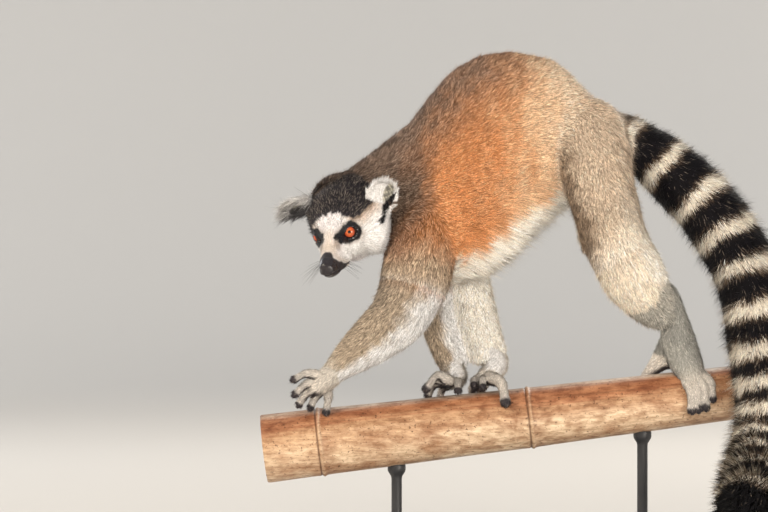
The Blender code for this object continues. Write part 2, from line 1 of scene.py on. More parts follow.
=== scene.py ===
"""Ring-tailed lemur, life size, walking along a cut length of bamboo on a display stand: its looks.

One skin replaces the flesh of the CAD model and lies inside it by the depth of the coat. The coat is a
mesh of fine tufts that grow from the skin and follow the lie of the hair. Inside the functions places
and lengths are in millimetres, in the CAD's frame, and they become metres when a mesh is made.
"""

import math
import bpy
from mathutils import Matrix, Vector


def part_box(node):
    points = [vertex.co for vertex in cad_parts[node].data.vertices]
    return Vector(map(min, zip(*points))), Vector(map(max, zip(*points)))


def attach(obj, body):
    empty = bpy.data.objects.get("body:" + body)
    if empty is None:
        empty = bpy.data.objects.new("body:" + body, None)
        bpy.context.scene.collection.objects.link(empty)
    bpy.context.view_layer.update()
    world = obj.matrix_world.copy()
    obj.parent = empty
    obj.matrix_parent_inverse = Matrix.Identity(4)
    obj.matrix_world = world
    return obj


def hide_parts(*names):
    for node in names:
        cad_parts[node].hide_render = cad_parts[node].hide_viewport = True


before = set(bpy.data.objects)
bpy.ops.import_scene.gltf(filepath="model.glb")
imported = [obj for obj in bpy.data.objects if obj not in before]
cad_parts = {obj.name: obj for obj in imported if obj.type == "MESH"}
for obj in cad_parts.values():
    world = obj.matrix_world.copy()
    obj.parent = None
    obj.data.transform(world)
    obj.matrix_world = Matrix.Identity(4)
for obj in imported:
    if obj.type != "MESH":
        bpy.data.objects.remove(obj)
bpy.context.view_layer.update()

from types import SimpleNamespace

import bmesh
import bpy
import numpy as np
from mathutils import Vector
from mathutils.kdtree import KDTree

MM = 0.001
RNG = np.random.default_rng(11)  # every run grows the same coat


def array(*values):
    return np.array(values, float)


# ================================================================ the animal's plan
# Runs along which the hair lies: places, and at each place how far the body reaches round the run.
RUNS = {
    "trunk": (((-188, 0, 390), (-150, 0, 382), (-105, 0, 389), (-46, 0, 431), (12, 0, 467), (46, 0, 474),
               (70, 0, 482)), (36, 50, 80, 92, 86, 68, 30)),
    "upper_arm_left": (((-98, -24, 400), (-110, -38, 360), (-120, -47, 312)), (30, 36, 36)),
    "forearm_left": (((-124, -49, 298), (-150, -42, 262), (-187, -30, 231), (-213, -21, 208)),
                     (34, 30, 20, 12)),
    "hand_left": (((-213, -21, 208), (-226, -16, 197), (-246, -18, 190)), (12, 15, 13)),
    "upper_arm_right": (((-88, 26, 400), (-92, 36, 352), (-98, 43, 306)), (28, 28, 23)),
    "forearm_right": (((-98, 42, 300), (-98, 37, 268), (-88, 28, 238), (-75, 13, 206)), (22, 19, 17, 11)),
    "hand_right": (((-76, 14, 208), (-86, 7, 203), (-107, 7, 197)), (11, 15, 13)),
    "thigh_left": (((52, -34, 470), (62, -46, 430), (74, -62, 385), (86, -76, 345)), (42, 42, 38, 34)),
    "shank_left": (((88, -76, 342), (104, -62, 314), (125, -38, 284), (139, -20, 268)), (32, 31, 23, 15)),
    "foot_left": (((150, -7, 286), (154, -5, 252), (161, -14, 228), (169, -25, 205), (176, -34, 184)),
                  (15, 18, 17, 13, 12)),
    "thigh_right": (((14, 30, 470), (0, 42, 425), (-24, 50, 386), (-48, 52, 352)), (42, 40, 36, 30)),
    "shank_right": (((-52, 52, 350), (-63, 46, 320), (-57, 36, 286), (-44, 22, 238)), (28, 24, 22, 18)),
    "foot_right": (((-36, 16, 220), (-45, 12, 209), (-58, 9, 203)), (14, 14, 14)),
}
# Along the trunk: the belly's lowest skin, and where its white begins on the sides.
BELLY = ((-110, 296), (-84, 302), (-42, 331), (-23, 345), (-8, 366), (18, 388), (40, 402), (70, 415))
BELLY_WHITE = ((-110, 285), (-89, 292), (-79, 329), (-52, 343), (-21, 366), (10, 389), (31, 405), (60, 420))
# The tail: its axis and the reach of its coat, as in the CAD.
TAIL = (
    (58, 0, 485, 15), (80, -1, 475, 18), (107, -7, 457, 24), (142, -13, 428, 32), (180, -22, 390, 34),
    (206, -31, 351, 34), (222, -40, 315, 34), (231, -49, 275, 34), (236, -58, 237, 35), (241, -66, 200, 35),
    (241, -74, 169, 35), (235, -88, 141, 36), (227, -110, 119, 36), (218, -136, 104, 34), (208, -162, 89, 31),
    (199, -186, 74, 23),
)
RING_MIDDLES = array(15, 57, 107, 158, 205, 248, 295, 337, 371, 403, 434, 464, 494, 526)  # of the white rings

# The coat on each kind of run: its depth over the skin, the tufts' length and width, and tufts per mm2.
COAT = {
    "trunk": SimpleNamespace(depth=(4.5, 5.0), length=(7.5, 8.5), width=0.68, density=1.9),
    "upper_arm": SimpleNamespace(depth=(5.0, 4.0), length=(9, 8), width=0.85, density=1.6),
    "forearm": SimpleNamespace(depth=(4.0, 1.6), length=(8, 5.5), width=0.8, density=1.9),
    "hand": SimpleNamespace(depth=(2.0, 1.1), length=(6.0, 4.0), width=0.6, density=3.2),
    "thigh": SimpleNamespace(depth=(5.5, 4.5), length=(9.5, 8.5), width=0.7, density=1.8),
    "shank": SimpleNamespace(depth=(4.5, 2.2), length=(10, 7), width=0.95, density=1.6),
    "foot": SimpleNamespace(depth=(2.0, 1.0), length=(6.0, 3.6), width=0.65, density=2.8),
    "tail": SimpleNamespace(depth=(5.0, 12.0), length=(13, 22), width=1.5, density=1.3),
    "head": SimpleNamespace(depth=(4.4, 0.6), length=(8.5, 1.8), width=0.85, density=3.4),
    "ear": SimpleNamespace(depth=(0.8, 0.8), length=(3.5, 4.5), width=0.55, density=3.0),
}

# ---------------------------------------------------------------- the head, in its own axes
HEAD_YAW = math.radians(74)
HEAD_PITCH = math.radians(26)
HEAD_ROLL = math.radians(9)
EYE = array(25.5, 16.3, 3.8)
EYE_RADIUS = 9.2
EYE_OUT = math.radians(30)
EYE_UP = math.radians(8)
# Stations from the back of the skull to the nose: x, z, half height and half width.
SKULL = (
    (-44, 5, 26, 28), (-30, 4, 34, 35), (-14, 3, 36.5, 38), (2, 2, 36, 37), (15, 1, 32, 34),
    (27, -0.5, 26.5, 28), (37, -3.5, 20, 20), (48, -7.5, 15, 15), (58, -10, 12.5, 12.6),
    (67, -11.3, 11.2, 11.6), (75, -12, 9.2, 9.7),
)
# Balls that fill it out: the middle and half the size of each.
CHEEK = {1: ((-12, 30, -12), (29, 19, 28)), -1: ((-11, -20, -13), (25, 17, 22))}
THROAT = ((-18, 0, -22), (30, 31, 22))
CHIN = ((60, 0, -17.0), (18, 11.8, 10.0))
JAW = ((44, 0, -16.5), (21, 17, 11.8))
LIP = ((60, 6.2, -13.5), (10, 6.6, 6.8))
BROW = ((22.5, 16, 5.5), (12.3, 12.3, 12.3))
EAR_BASE = ((-20, 36, -3), (14, 13, 18))
NAPE = array(-185, -1, 386)  # in the frame's own axes
NAPE_SIZE = (40.5, 40.5, 40.5)
# The ears, the left one as 1 and the right one as -1: the root, the way to the tip, the way its hollow faces.
EARS = ((1, "ear_left"), (-1, "ear_right"))
EAR_ROOT = {1: array(-13, 36.5, 4), -1: array(-10, -33, 28)}
EAR_WAY = {1: array(-0.12, 0.50, 0.84), -1: array(0.06, -0.97, -0.20)}
EAR_FACE = {1: array(0.94, 0.31, -0.15), -1: array(0.80, -0.28, -0.42)}
EAR_LENGTH = {1: 34.0, -1: 25.0}
EAR_WIDTH = {1: 17.0, -1: 12.5}
EAR_THICK = 2.7
EAR_CUP = 6.0
MOUTH_X = (35, 76)  # from its corner to its front
MOUTH_Z = (-21.0, -17.5)

# ---------------------------------------------------------------- hands and feet, as in the CAD
# A palm's stations: x, y, z, half thickness, half width. A digit: its root, joint and tip, and its radius.
EXTREMITIES = {
    "hand_left": SimpleNamespace(
        palm=((-190, -29, 229, 8, 9), (-198, -26, 221, 10, 11), (-206, -23, 214, 12, 13),
              (-214, -20, 206, 11.5, 14), (-222, -17, 199, 9, 14), (-226, -16, 195, 6, 12)),
        digits=(((-220, -25, 211), (-234, -28, 213), (-247, -30, 207), 4.2),
                ((-222, -21, 206), (-235, -24, 201.5), (-246, -26, 191.5), 4.2),
                ((-221, -16, 201), (-233, -17, 192.5), (-242, -16, 180.5), 4.2),
                ((-218, -11, 197), (-225, -12, 188), (-230, -14, 177.5), 4.2),
                ((-213, -8, 201), (-211.5, -17, 188.5), (-213.5, -22, 173), 4.2))),
    "hand_right": SimpleNamespace(
        palm=((-80, 20, 226, 7, 8), (-77, 16, 216, 9, 10), (-76, 14, 208, 10.5, 11.5),
              (-79, 10, 204, 8.5, 13), (-83, 7, 202.5, 6, 12.5)),
        digits=(((-82, -1, 203), (-97, -5, 210), (-109, -8, 196), 4.2),
                ((-86, 6, 203), (-99, 7, 205), (-109, 9, 196.5), 4.2),
                ((-86, 13, 202), (-99, 18, 200), (-107, 23, 188), 4.2),
                ((-82, 19, 201), (-91, 28, 195), (-95, 34, 179), 4.2),
                ((-76, 1, 202), (-76, -10, 203), (-76, -20, 195), 4.2))),
    "foot_left": SimpleNamespace(
        palm=((137, -22, 306, 7, 8), (145, -13, 297, 8, 9), (150, -7, 288, 8.5, 10), (152, -5, 272, 13, 12),
              (154, -5, 252, 18, 13), (159, -10, 233, 18.5, 14), (166, -17, 216, 16, 13),
              (170, -21, 207, 12, 10)),
        digits=(((152, 0, 228), (136, 12, 219), (122, 24, 202), 6.0),
                ((162, -20, 206), (165, -33, 195), (166, -34, 175), 4.6),
                ((168, -20, 208), (172, -34, 196), (173, -33.5, 176), 4.6),
                ((173, -19, 209), (179, -33, 199), (181, -33.5, 178), 4.6),
                ((177, -17, 212), (186, -30, 203), (188, -32, 187), 4.4)),
        web=((154, -4, 270, 8, 8), (146, 3, 246, 9, 10), (135, 12, 224, 7.5, 8), (124, 22, 207, 6, 6.5))),
    "foot_right": SimpleNamespace(
        palm=((-46, 24, 250, 8, 9), (-40, 20, 236, 10, 11), (-34, 16, 224, 12, 12), (-38, 13, 215, 12, 13),
              (-45, 12, 209, 10.5, 14), (-51, 12, 205, 8, 14)),
        digits=(((-42, 0, 208), (-31, -18, 202), (-27, -33, 183), 5.4),
                ((-48, 3, 204), (-50, -9, 206), (-50, -18, 199), 4.2),
                ((-54, 8, 203), (-58, -1, 205), (-59, -11, 200.5), 4.2),
                ((-54, 20, 202), (-59, 31, 195), (-60, 38, 179), 4.4),
                ((-47, 24, 202), (-50, 34, 193), (-51, 39, 177), 4.2))),
}

# ---------------------------------------------------------------- mesh sizes, in mm
BODY_VOXEL = 2.6
HEAD_VOXEL = 0.95
EAR_VOXEL = 0.75
HAND_VOXEL = 0.9
OVERLAP = 0.8  # by which the CAD's pieces swell before they are fused


# ================================================================ small helpers
def unit(v):
    return v / np.maximum(np.linalg.norm(v, axis=-1, keepdims=True), 1e-9)


def rise(low, high, x):
    """0 at low, 1 at high, smooth between. low may be the larger."""
    t = np.clip((x - low) / (high - low), 0, 1)
    return t * t * (3 - 2 * t)


def mix(a, b, t):
    return a + (b - a) * np.asarray(t)[..., None]


def bump(x, middle, width):
    """1 at the middle, falling off to both sides like a bell."""
    return np.exp(-(((x - middle) / width) ** 2))


def layered(colour, *marks):
    """The colour with marks laid over it in turn, each a shade and how much of it shows."""
    for shade, share in marks:
        colour = mix(colour, shade, share)
    return colour


def circle(count):
    """Evenly spaced angles all the way round."""
    return np.linspace(0, math.tau, count, endpoint=False)


def curve_through(points, steps=4):
    """Catmull-Rom values between the rows of points."""
    p = np.asarray(points, float)
    p = np.vstack([2 * p[0] - p[1], p, 2 * p[-1] - p[-2]])
    rows = []
    for i in range(1, len(p) - 2):
        for t in np.arange(steps) / steps:
            a, b, c, d = p[i - 1 : i + 3]
            linear = 2 * b + (c - a) * t
            rows.append(0.5 * (linear + (2 * a - 5 * b + 4 * c - d) * t**2 + (3 * b - a - 3 * c + d) * t**3))
    return np.array(rows + [p[-2]])


def rounded(rows, sizes):
    """Closes a run of stations with domed ends. A row holds a place, then its sizes from this column on."""
    caps = []
    for end, inner in ((0, 1), (-1, -2)):
        way = unit(rows[end][:3] - rows[inner][:3])
        reach = 0.75 * float(np.mean(rows[end][sizes:]))
        cap = []
        for t in (0.4, 0.7, 0.9, 0.985):
            row = rows[end].copy()
            row[:3] += way * reach * t
            row[sizes:] *= math.sqrt(1 - t * t)
            cap.append(row)
        caps.append(cap)
    return np.array(caps[0][::-1] + list(rows) + caps[1])


def turn_of(yaw, pitch, roll):
    """Columns: the head's x (to the nose), y (its left) and z (up)."""
    cy, sy = math.cos(math.pi + yaw), math.sin(math.pi + yaw)
    cp, sp, cr, sr = math.cos(pitch), math.sin(pitch), math.cos(roll), math.sin(roll)
    about_z = np.array([[cy, -sy, 0], [sy, cy, 0], [0, 0, 1]])
    about_y = np.array([[cp, 0, sp], [0, 1, 0], [-sp, 0, cp]])
    about_x = np.array([[1, 0, 0], [0, cr, -sr], [0, sr, cr]])
    return about_z @ about_y @ about_x


def node_box(name):
    """The low and the high corner of a CAD node's box, in mm."""
    low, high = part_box(name)
    return np.array(low) / MM, np.array(high) / MM


TURN = turn_of(HEAD_YAW, HEAD_PITCH, HEAD_ROLL)
EYES_MIDDLE = (sum(node_box("eye_left")) + sum(node_box("eye_right"))) / 4
HEAD_CENTRE = EYES_MIDDLE - TURN @ (EYE * array(1, 0, 1))


def from_head(p):
    return HEAD_CENTRE + np.asarray(p, float) @ TURN.T


def to_head(p):
    return (p - HEAD_CENTRE) @ TURN


def mirrored(v, side):
    return np.asarray(v, float) * array(1, side, 1)


def narrowed(head):
    """The photo's outline: on the right side the face is a little narrower and the cap a little wider."""
    head = np.array(head, float)
    high = rise(8, 22, head[..., 2])
    change = 0.08 * high - 0.17 * (1 - high) * rise(-10, 12, head[..., 0])
    head[..., 1] *= np.where(head[..., 1] < 0, 1 + change, 1.0)
    return head


EYE_PLACE = {1: EYE, -1: narrowed(mirrored(EYE, -1))}


# ---------------------------------------------------------------- meshes
def mesh_of(points, faces):
    """A mesh from places in mm and a list or array of faces."""
    mesh = bpy.data.meshes.new("form")
    if isinstance(faces, np.ndarray):
        corners = faces.shape[1]
        mesh.vertices.add(len(points))
        mesh.vertices.foreach_set("co", (points * MM).astype(np.float32).ravel())
        mesh.loops.add(faces.size)
        mesh.loops.foreach_set("vertex_index", faces.astype(np.int32).ravel())
        mesh.polygons.add(len(faces))
        mesh.polygons.foreach_set("loop_start", np.arange(0, faces.size, corners, dtype=np.int32))
        mesh.update(calc_edges=True)
    else:
        mesh.from_pydata([tuple(p * MM) for p in np.asarray(points, float)], [], faces)
        mesh.update()
    return mesh


def loft(rings):
    """A closed form through rings of equal count, its ends closed by a point at each ring's middle."""
    rings = np.asarray(rings, float)
    rows, count = rings.shape[:2]
    points = np.vstack([rings.reshape(-1, 3), rings[0].mean(0), rings[-1].mean(0)])
    faces = []
    for row in range(rows - 1):
        for i in range(count):
            a, b = row * count + i, row * count + (i + 1) % count
            faces.append((a, b, b + count, a + count))
    for i in range(count):
        j = (i + 1) % count
        faces.append((j, i, rows * count))
        faces.append(((rows - 1) * count + i, (rows - 1) * count + j, rows * count + 1))
    mesh = mesh_of(points, faces)
    bm = bmesh.new()
    bm.from_mesh(mesh)
    if bm.calc_volume(signed=True) < 0:
        bmesh.ops.reverse_faces(bm, faces=bm.faces)
    bm.to_mesh(mesh)
    bm.free()
    return mesh


def ball(middle, sizes, turn=np.eye(3), detail=20):
    """An ellipsoid whose sizes lie along the columns of turn."""
    around = circle(2 * detail)
    rings = []
    for polar in np.linspace(0, math.pi, detail + 2)[1:-1]:
        x, y, z = np.cos(around) * math.sin(polar), np.sin(around) * math.sin(polar), math.cos(polar)
        ring = np.stack([x, y, np.full_like(x, z)], 1)
        rings.append(np.asarray(middle, float) + (ring * np.asarray(sizes, float)) @ turn.T)
    return loft(rings)


def tube(x, profile, sides):
    """A turned form that stands upright at this x. Profile: the radius and height of each ring."""
    around = circle(sides)
    return loft([np.column_stack([x + r * np.cos(around), r * np.sin(around), np.full(sides, z)])
                 for r, z in profile])


def limb(stations, steps=6, sides=32):
    """A tapering limb. Stations in mm: x, y, z, half thickness, half width across it."""
    rows = rounded(curve_through(stations, steps), 3)
    around = circle(sides)[:, None]
    rings = []
    for i, row in enumerate(rows):
        way = unit(rows[min(i + 1, len(rows) - 1)][:3] - rows[max(i - 1, 0)][:3])
        up = unit(np.cross(way, array(0, 1, 0)))
        side = unit(np.cross(up, way))
        rings.append(row[:3] + up * row[3] * np.cos(around) + side * row[4] * np.sin(around))
    return loft(rings)


def joined(meshes):
    """Several meshes in one, left as they are."""
    bm = bmesh.new()
    for mesh in meshes:
        bm.from_mesh(mesh)
    return mesh_from(bm)


def mesh_from(bm):
    mesh = bpy.data.meshes.new("form")
    bm.to_mesh(mesh)
    bm.free()
    return mesh


def placed(name, data):
    """A new object in the scene."""
    obj = bpy.data.objects.new(name, data)
    bpy.context.scene.collection.objects.link(obj)
    return obj


def apply(mesh, kind, **settings):
    """The mesh after one modifier."""
    obj = placed("guide", mesh)
    modifier = obj.modifiers.new(kind, kind)
    for key, value in settings.items():
        setattr(modifier, key, value)
    graph = bpy.context.evaluated_depsgraph_get()
    graph.update()
    done = bpy.data.meshes.new_from_object(obj.evaluated_get(graph), depsgraph=graph)
    bpy.data.objects.remove(obj, do_unlink=True)
    return done


def smoothed(mesh, rounds):
    return apply(mesh, "SMOOTH", factor=0.5, iterations=rounds)


def fused(meshes, voxel, smoothing):
    """One closed surface round all the forms, smoothed."""
    mesh = apply(joined(meshes), "REMESH", mode="VOXEL", voxel_size=voxel * MM, use_smooth_shade=True)
    return smoothed(mesh, smoothing)


def united(first, second):
    """The two closed surfaces as one."""
    other = placed("guide", second)
    done = apply(first, "BOOLEAN", operation="UNION", object=other, solver="MANIFOLD")
    bpy.data.objects.remove(other, do_unlink=True)
    return done


def values_of(items, key, kind=np.float32, columns=3):
    """A property of every item of a mesh, one row for each."""
    out = np.empty(len(items) * columns, kind)
    items.foreach_get(key, out)
    return out.reshape(-1, columns)


def places(mesh):
    """The mesh's points, in mm."""
    return values_of(mesh.vertices, "co").astype(float) / MM


def normals(mesh):
    return values_of(mesh.vertex_normals, "vector").astype(float)


def triangles(mesh):
    mesh.calc_loop_triangles()
    return values_of(mesh.loop_triangles, "vertices", np.int32)


def set_places(mesh, points):
    mesh.vertices.foreach_set("co", (points * MM).astype(np.float32).ravel())
    mesh.update()


def relaxed(mesh, weight, rounds):
    """Evens out a surface where the weight is near 1."""
    a, b = values_of(mesh.edges, "vertices", np.int32, 2).T
    count = np.bincount(a, minlength=len(weight)) + np.bincount(b, minlength=len(weight))
    p = places(mesh)
    for _ in range(rounds):
        total = np.stack([np.bincount(a, v[b], len(p)) + np.bincount(b, v[a], len(p)) for v in p.T], 1)
        p = mix(p, total / count[:, None], 0.5 * weight)
    set_places(mesh, p)


def paint(mesh, colours, name="Coat"):
    """Colours, one for each point."""
    layer = mesh.color_attributes.new(name, "FLOAT_COLOR", "POINT")
    opaque = np.column_stack([colours, np.ones(len(colours))])
    layer.data.foreach_set("color", opaque.astype(np.float32).ravel())


def piece(name, mesh, finish, replaces=()):
    """An object of the visual model, riding on the one body."""
    obj = placed(name, mesh)
    mesh.materials.clear()
    mesh.materials.append(finish)
    mesh.shade_smooth()
    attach(obj, "root")
    if replaces:
        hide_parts(*replaces)
    return obj


# ================================================================ where a place is on the animal
HEAD_RUN = array((-30, 0, 3, 40), (-5, 0, 2, 41), (18, 0, 0, 34), (34, 0, -3, 23), (50, 0, -8, 16),
                 (72, 0, -12, 12))  # in the head's own axes, with the reach
EAR_REACH = 15.0
DIGIT_SHARE = (0.75, 0.3)  # where on a hand's or foot's run its digits begin, and the stretch they fill


def run_rows():
    """The runs by name, as close places with the reach there, and the digits under their hand's name."""
    found = [(name, curve_through(np.column_stack([points, reaches]), 8))
             for name, (points, reaches) in RUNS.items()]
    found.append(("tail", curve_through(TAIL, 8)))
    head = np.column_stack([from_head(HEAD_RUN[:, :3]), HEAD_RUN[:, 3]])
    found.append(("head", curve_through(head, 8)))
    for side, name in EARS:
        way = unit(EAR_WAY[side])
        line = np.linspace(EAR_ROOT[side] + way * 6, EAR_ROOT[side] + way * EAR_LENGTH[side], 9)
        found.append((name, np.column_stack([from_head(line), np.full(9, EAR_REACH)])))
    digits = [(name, np.column_stack([curve_through([root, joint, tip], 4), np.full(9, radius + 3.0)]))
              for name, shape in EXTREMITIES.items() for root, joint, tip, radius in shape.digits]
    return found, digits


def run_top(name, way):
    """The side of a run that counts as its top: the trunk's back, a limb's front, the head's cap."""
    if name == "head":
        up = np.tile(TURN[:, 2], (len(way), 1))
    elif name.startswith("ear"):
        up = np.tile(TURN @ EAR_FACE[1 if name == "ear_left" else -1], (len(way), 1))
    else:
        up = np.cross(way, array(0, 1, 0)) * (1 if name in ("trunk", "tail") else -1)
    return unit(up - way * (up * way).sum(1, keepdims=True))


def samples():
    """Close samples of every run: place, direction, top, reach, share of its length, and the run's number."""
    found, digits = run_rows()
    names = [name for name, _ in found]
    columns = []
    for order, (name, rows) in enumerate(found + digits):
        place = rows[:, :3]
        way = unit(np.gradient(place, axis=0))
        length = np.r_[0, np.cumsum(np.linalg.norm(np.diff(place, axis=0), axis=1))]
        start, span = DIGIT_SHARE if order >= len(names) else (0.0, 1.0)
        share = start + span * length / length[-1]
        rate = np.full(len(place), span / length[-1])
        number = np.full(len(place), names.index(name))
        columns.append((place, way, run_top(name, way), rows[:, 3], share, rate, number))
    fields = ("place", "way", "top", "reach", "share", "rate", "run")
    return SimpleNamespace(names=names, **{key: np.concatenate(c) for key, c in zip(fields, zip(*columns))})


RUN = samples()
LEFT_RUNS = [i for i, name in enumerate(RUN.names) if name.endswith("_left")]
ON_TAIL = RUN.run == RUN.names.index("tail")
TAIL_LENGTH = float(np.linalg.norm(np.diff(RUN.place[ON_TAIL], axis=0), axis=1).sum())


def kind_of(name):
    return name.rsplit("_", 1)[0] if name.endswith(("_left", "_right")) else name


def on_run(at, name):
    return at.run == RUN.names.index(name)


LABELS = ("body", "hand_left", "hand_right", "foot_left", "foot_right", "head", "ear_left", "ear_right")
LABEL_OF_RUN = np.array([LABELS.index(name) if name in LABELS else 0 for name in RUN.names])
KINDS = ("trunk", "upper_arm", "forearm", "hand", "thigh", "shank", "foot", "tail", "head", "ear")
RUN_KIND = np.array([KINDS.index(kind_of(name)) for name in RUN.names])
MEASURES = ("depth", "length", "width", "density")


def along_coat(which):
    """For every sample, a measure of the coat that runs from one value to another along its run."""
    ends = np.array([getattr(COAT[kind_of(RUN.names[r])], which) for r in RUN.run], float)
    if ends.ndim == 1:
        return ends
    return ends[:, 0] + (ends[:, 1] - ends[:, 0]) * RUN.share


RUN_MEASURES = np.stack([along_coat(which) for which in MEASURES], 1)
TAIL_SHARE = RUN.share[ON_TAIL]
RUN_MEASURES[ON_TAIL, 0] = np.interp(TAIL_SHARE, (0, 0.12, 0.3, 0.9, 1), (4.5, 7, 11, 13, 15))
RUN_MEASURES[ON_TAIL, 1] = np.interp(TAIL_SHARE, (0, 0.12, 0.3, 0.92, 1), (11, 14, 20, 22, 14))


def locate(p, label, block=6000):
    """What the colour and the lie of the coat need to know about each place.

    label tells which of the skin's parts it belongs to, and only the runs of that part are looked at.
    """
    closed = LABEL_OF_RUN[None, RUN.run] != np.arange(len(LABELS))[:, None]
    near = np.empty(len(p), int)
    blended = []
    known = np.hstack([RUN.way, RUN_MEASURES, np.eye(len(KINDS))[RUN_KIND[RUN.run]]])
    for start in range(0, len(p), block):
        part = slice(start, start + block)
        gap = np.linalg.norm(p[part, None] - RUN.place[None], axis=2) / RUN.reach
        gap[closed[label[part]]] = 99
        near[part] = gap.argmin(1)
        w = np.exp(-6 * (gap - gap.min(1, keepdims=True)) * (1 + gap))
        blended.append((w / w.sum(1, keepdims=True)) @ known)
    flow, measures, weights = np.split(np.vstack(blended), (3, 3 + len(MEASURES)), axis=1)
    out = unit(p - RUN.place[near])
    return SimpleNamespace(
        p=p, label=label, near=near, out=out, head=to_head(p), flow=unit(flow), run=RUN.run[near],
        weights={kind: weights[:, i] for i, kind in enumerate(KINDS)},
        share=RUN.share[near] + ((p - RUN.place[near]) * RUN.way[near]).sum(1) * RUN.rate[near],
        high=(out * RUN.top[near]).sum(1),  # 1 on a run's top, -1 underneath
        **{name: measures[:, i] for i, name in enumerate(MEASURES)})


def tangled(p, size, seed):
    """A smooth pseudo-random value from -1 to 1 at each place, with features of about this size in mm."""
    ways = np.random.default_rng(seed).normal(size=(5, 3))
    phases = np.random.default_rng(seed + 1).uniform(0, math.tau, 5)
    waves = np.sin(p @ (unit(ways) * math.tau / size * array(0.7, 1, 1.3, 1.7, 0.5)[:, None]).T + phases)
    return waves.mean(1) * 1.8


# ================================================================ the head in detail
# An eye's opening reaches this far from its middle to each side, in mm on the eyeball.
LID_INNER = 9.2
LID_OUTER = 8.0
LID_TOP = 6.3
LID_BOTTOM = 5.8
LID_SLANT = math.radians(18)  # its inner corner is the lower one
LID_THICK = 1.25
SOCKET = 3.0  # how far the skin is sunk behind the eyeball's surface
SQUINT = 3.0  # the right eye, on the sunny side, is open less by this factor


def eye_axes(side):
    """Where an eye's opening faces, towards its inner corner, and up."""
    ahead = math.cos(EYE_UP)
    way = array(math.cos(EYE_OUT) * ahead, side * math.sin(EYE_OUT) * ahead, math.sin(EYE_UP))
    inner = unit(np.cross(way, array(0, 0, 1)) * side)
    return way, inner, unit(np.cross(inner, way) * side)


def slanted(a, b):
    """Places across and up an eye, turned with the slant of its lids."""
    cosine, sine = math.cos(LID_SLANT), math.sin(LID_SLANT)
    return a * cosine - b * sine, a * sine + b * cosine


def eye_place(head, side):
    """For places on the head: how far out of the eye's middle, and where round it in units of the opening."""
    way, inner, up = eye_axes(side)
    v = head - EYE_PLACE[side]
    far = np.linalg.norm(v, axis=1)
    forward = v @ way
    a, b = slanted(EYE_RADIUS * np.arctan2(v @ inner, forward), EYE_RADIUS * np.arctan2(v @ up, forward))
    across = a / np.where(a > 0, LID_INNER, LID_OUTER)
    tall = b / np.where(b > 0, LID_TOP, LID_BOTTOM) * (1.0 if side == 1 else SQUINT)
    q = np.sqrt(across**2 + (np.abs(tall) * (1 + 0.5 * np.clip(across, 0, 1))) ** 2)
    near = rise(22, 17, far) * (forward > 0.1 * far)
    return SimpleNamespace(far=far, q=q, near=near)


def eye_patch(head, side):
    """Below 1 in the black patch round an eye, drawn out to the inner corner, and whether it lies ahead."""
    way, inner, up = eye_axes(side)
    v = head - EYE_PLACE[side]
    a, b = slanted(v @ inner, v @ up)
    inner_part = np.maximum(a, 0)
    wide = np.where(a > 0, 17.5, 12.3)
    tall = 11.3 - 0.22 * inner_part
    return np.sqrt((a / wide) ** 2 + ((b - 0.28 * inner_part) / tall) ** 2), (v @ way) > -8


def skull_form():
    sides = 48
    around = circle(sides)
    rows = rounded(curve_through([(x, 0, z, high, wide) for x, z, high, wide in SKULL], 6), 3)
    return loft([np.stack([np.full(sides, x), wide * np.sin(around), z + high * np.cos(around)], 1)
                 for x, _, z, high, wide in rows])


def ear_axes(side):
    """The ways to an ear's tip, out of its hollow, and across it."""
    way = unit(EAR_WAY[side])
    face = unit(EAR_FACE[side] - way * (EAR_FACE[side] @ way))
    return way, face, np.cross(way, face)


def ear_place(head, side):
    """Across the ear from -1 to 1, along it from 0 to 1, and the way its hollow faces."""
    way, face, wide = ear_axes(side)
    v = head - EAR_ROOT[side]
    return (v @ wide) * side / EAR_WIDTH[side], (v @ way) / EAR_LENGTH[side], face


def ear_form(side):
    """A thin rounded cup with a turned rim and two folds."""
    way, face, wide = ear_axes(side)
    across = np.linspace(-1, 1, 25)
    bowl = 1 - across * across
    rings = []
    for t in np.linspace(0, 1, 30):
        taper = max(0.0, 1 - (max(0.0, t - 0.42) / 0.60) ** 2.6) ** 0.42
        half = EAR_WIDTH[side] * taper * (0.72 + 0.28 * min(1, t / 0.42))
        sink = EAR_CUP * bowl * math.sin(math.pi * min(1, 0.15 + 0.85 * (1 - t)) ** 0.9)
        sink = sink - 1.6 * bump(np.abs(across), 0.45, 0.14) * bump(t, 0.38, 0.16)  # the folds
        thick = EAR_THICK * (0.55 + 0.45 * bowl) * (1 - 0.15 * t)
        along = EAR_LENGTH[side] * (t * 1.25 - 0.25)
        middle = EAR_ROOT[side] + way * along + wide * (half * across)[:, None] - face * sink[:, None]
        shell = face * thick[:, None] / 2
        rings.append(np.vstack([middle + shell, (middle - shell)[::-1]]))
    return loft(rings)


def head_depth(head):
    """How deep the coat is over the head's skin."""
    depth = 0.6 + 2.2 * rise(50, 5, head[:, 0]) + 0.8 * rise(0, -30, head[:, 0])
    depth += 1.6 * rise(22, 34, np.abs(head[:, 1])) * rise(2, -14, head[:, 2])
    for side in (1, -1):
        gap = np.linalg.norm(head - EYE_PLACE[side] - array(5, 0, 0), axis=1)
        depth *= 0.25 + 0.75 * rise(9, 24, gap)
    return depth


def head_forms():
    forms = [skull_form(), ball(*THROAT), ball(*CHIN), ball(*JAW), ball(to_head(NAPE), NAPE_SIZE)]
    for side in (1, -1):
        forms.append(ball(*CHEEK[side]))
        forms += [ball(mirrored(middle, side), size) for middle, size in (BROW, LIP)]
    return forms + [ball(*EAR_BASE)]


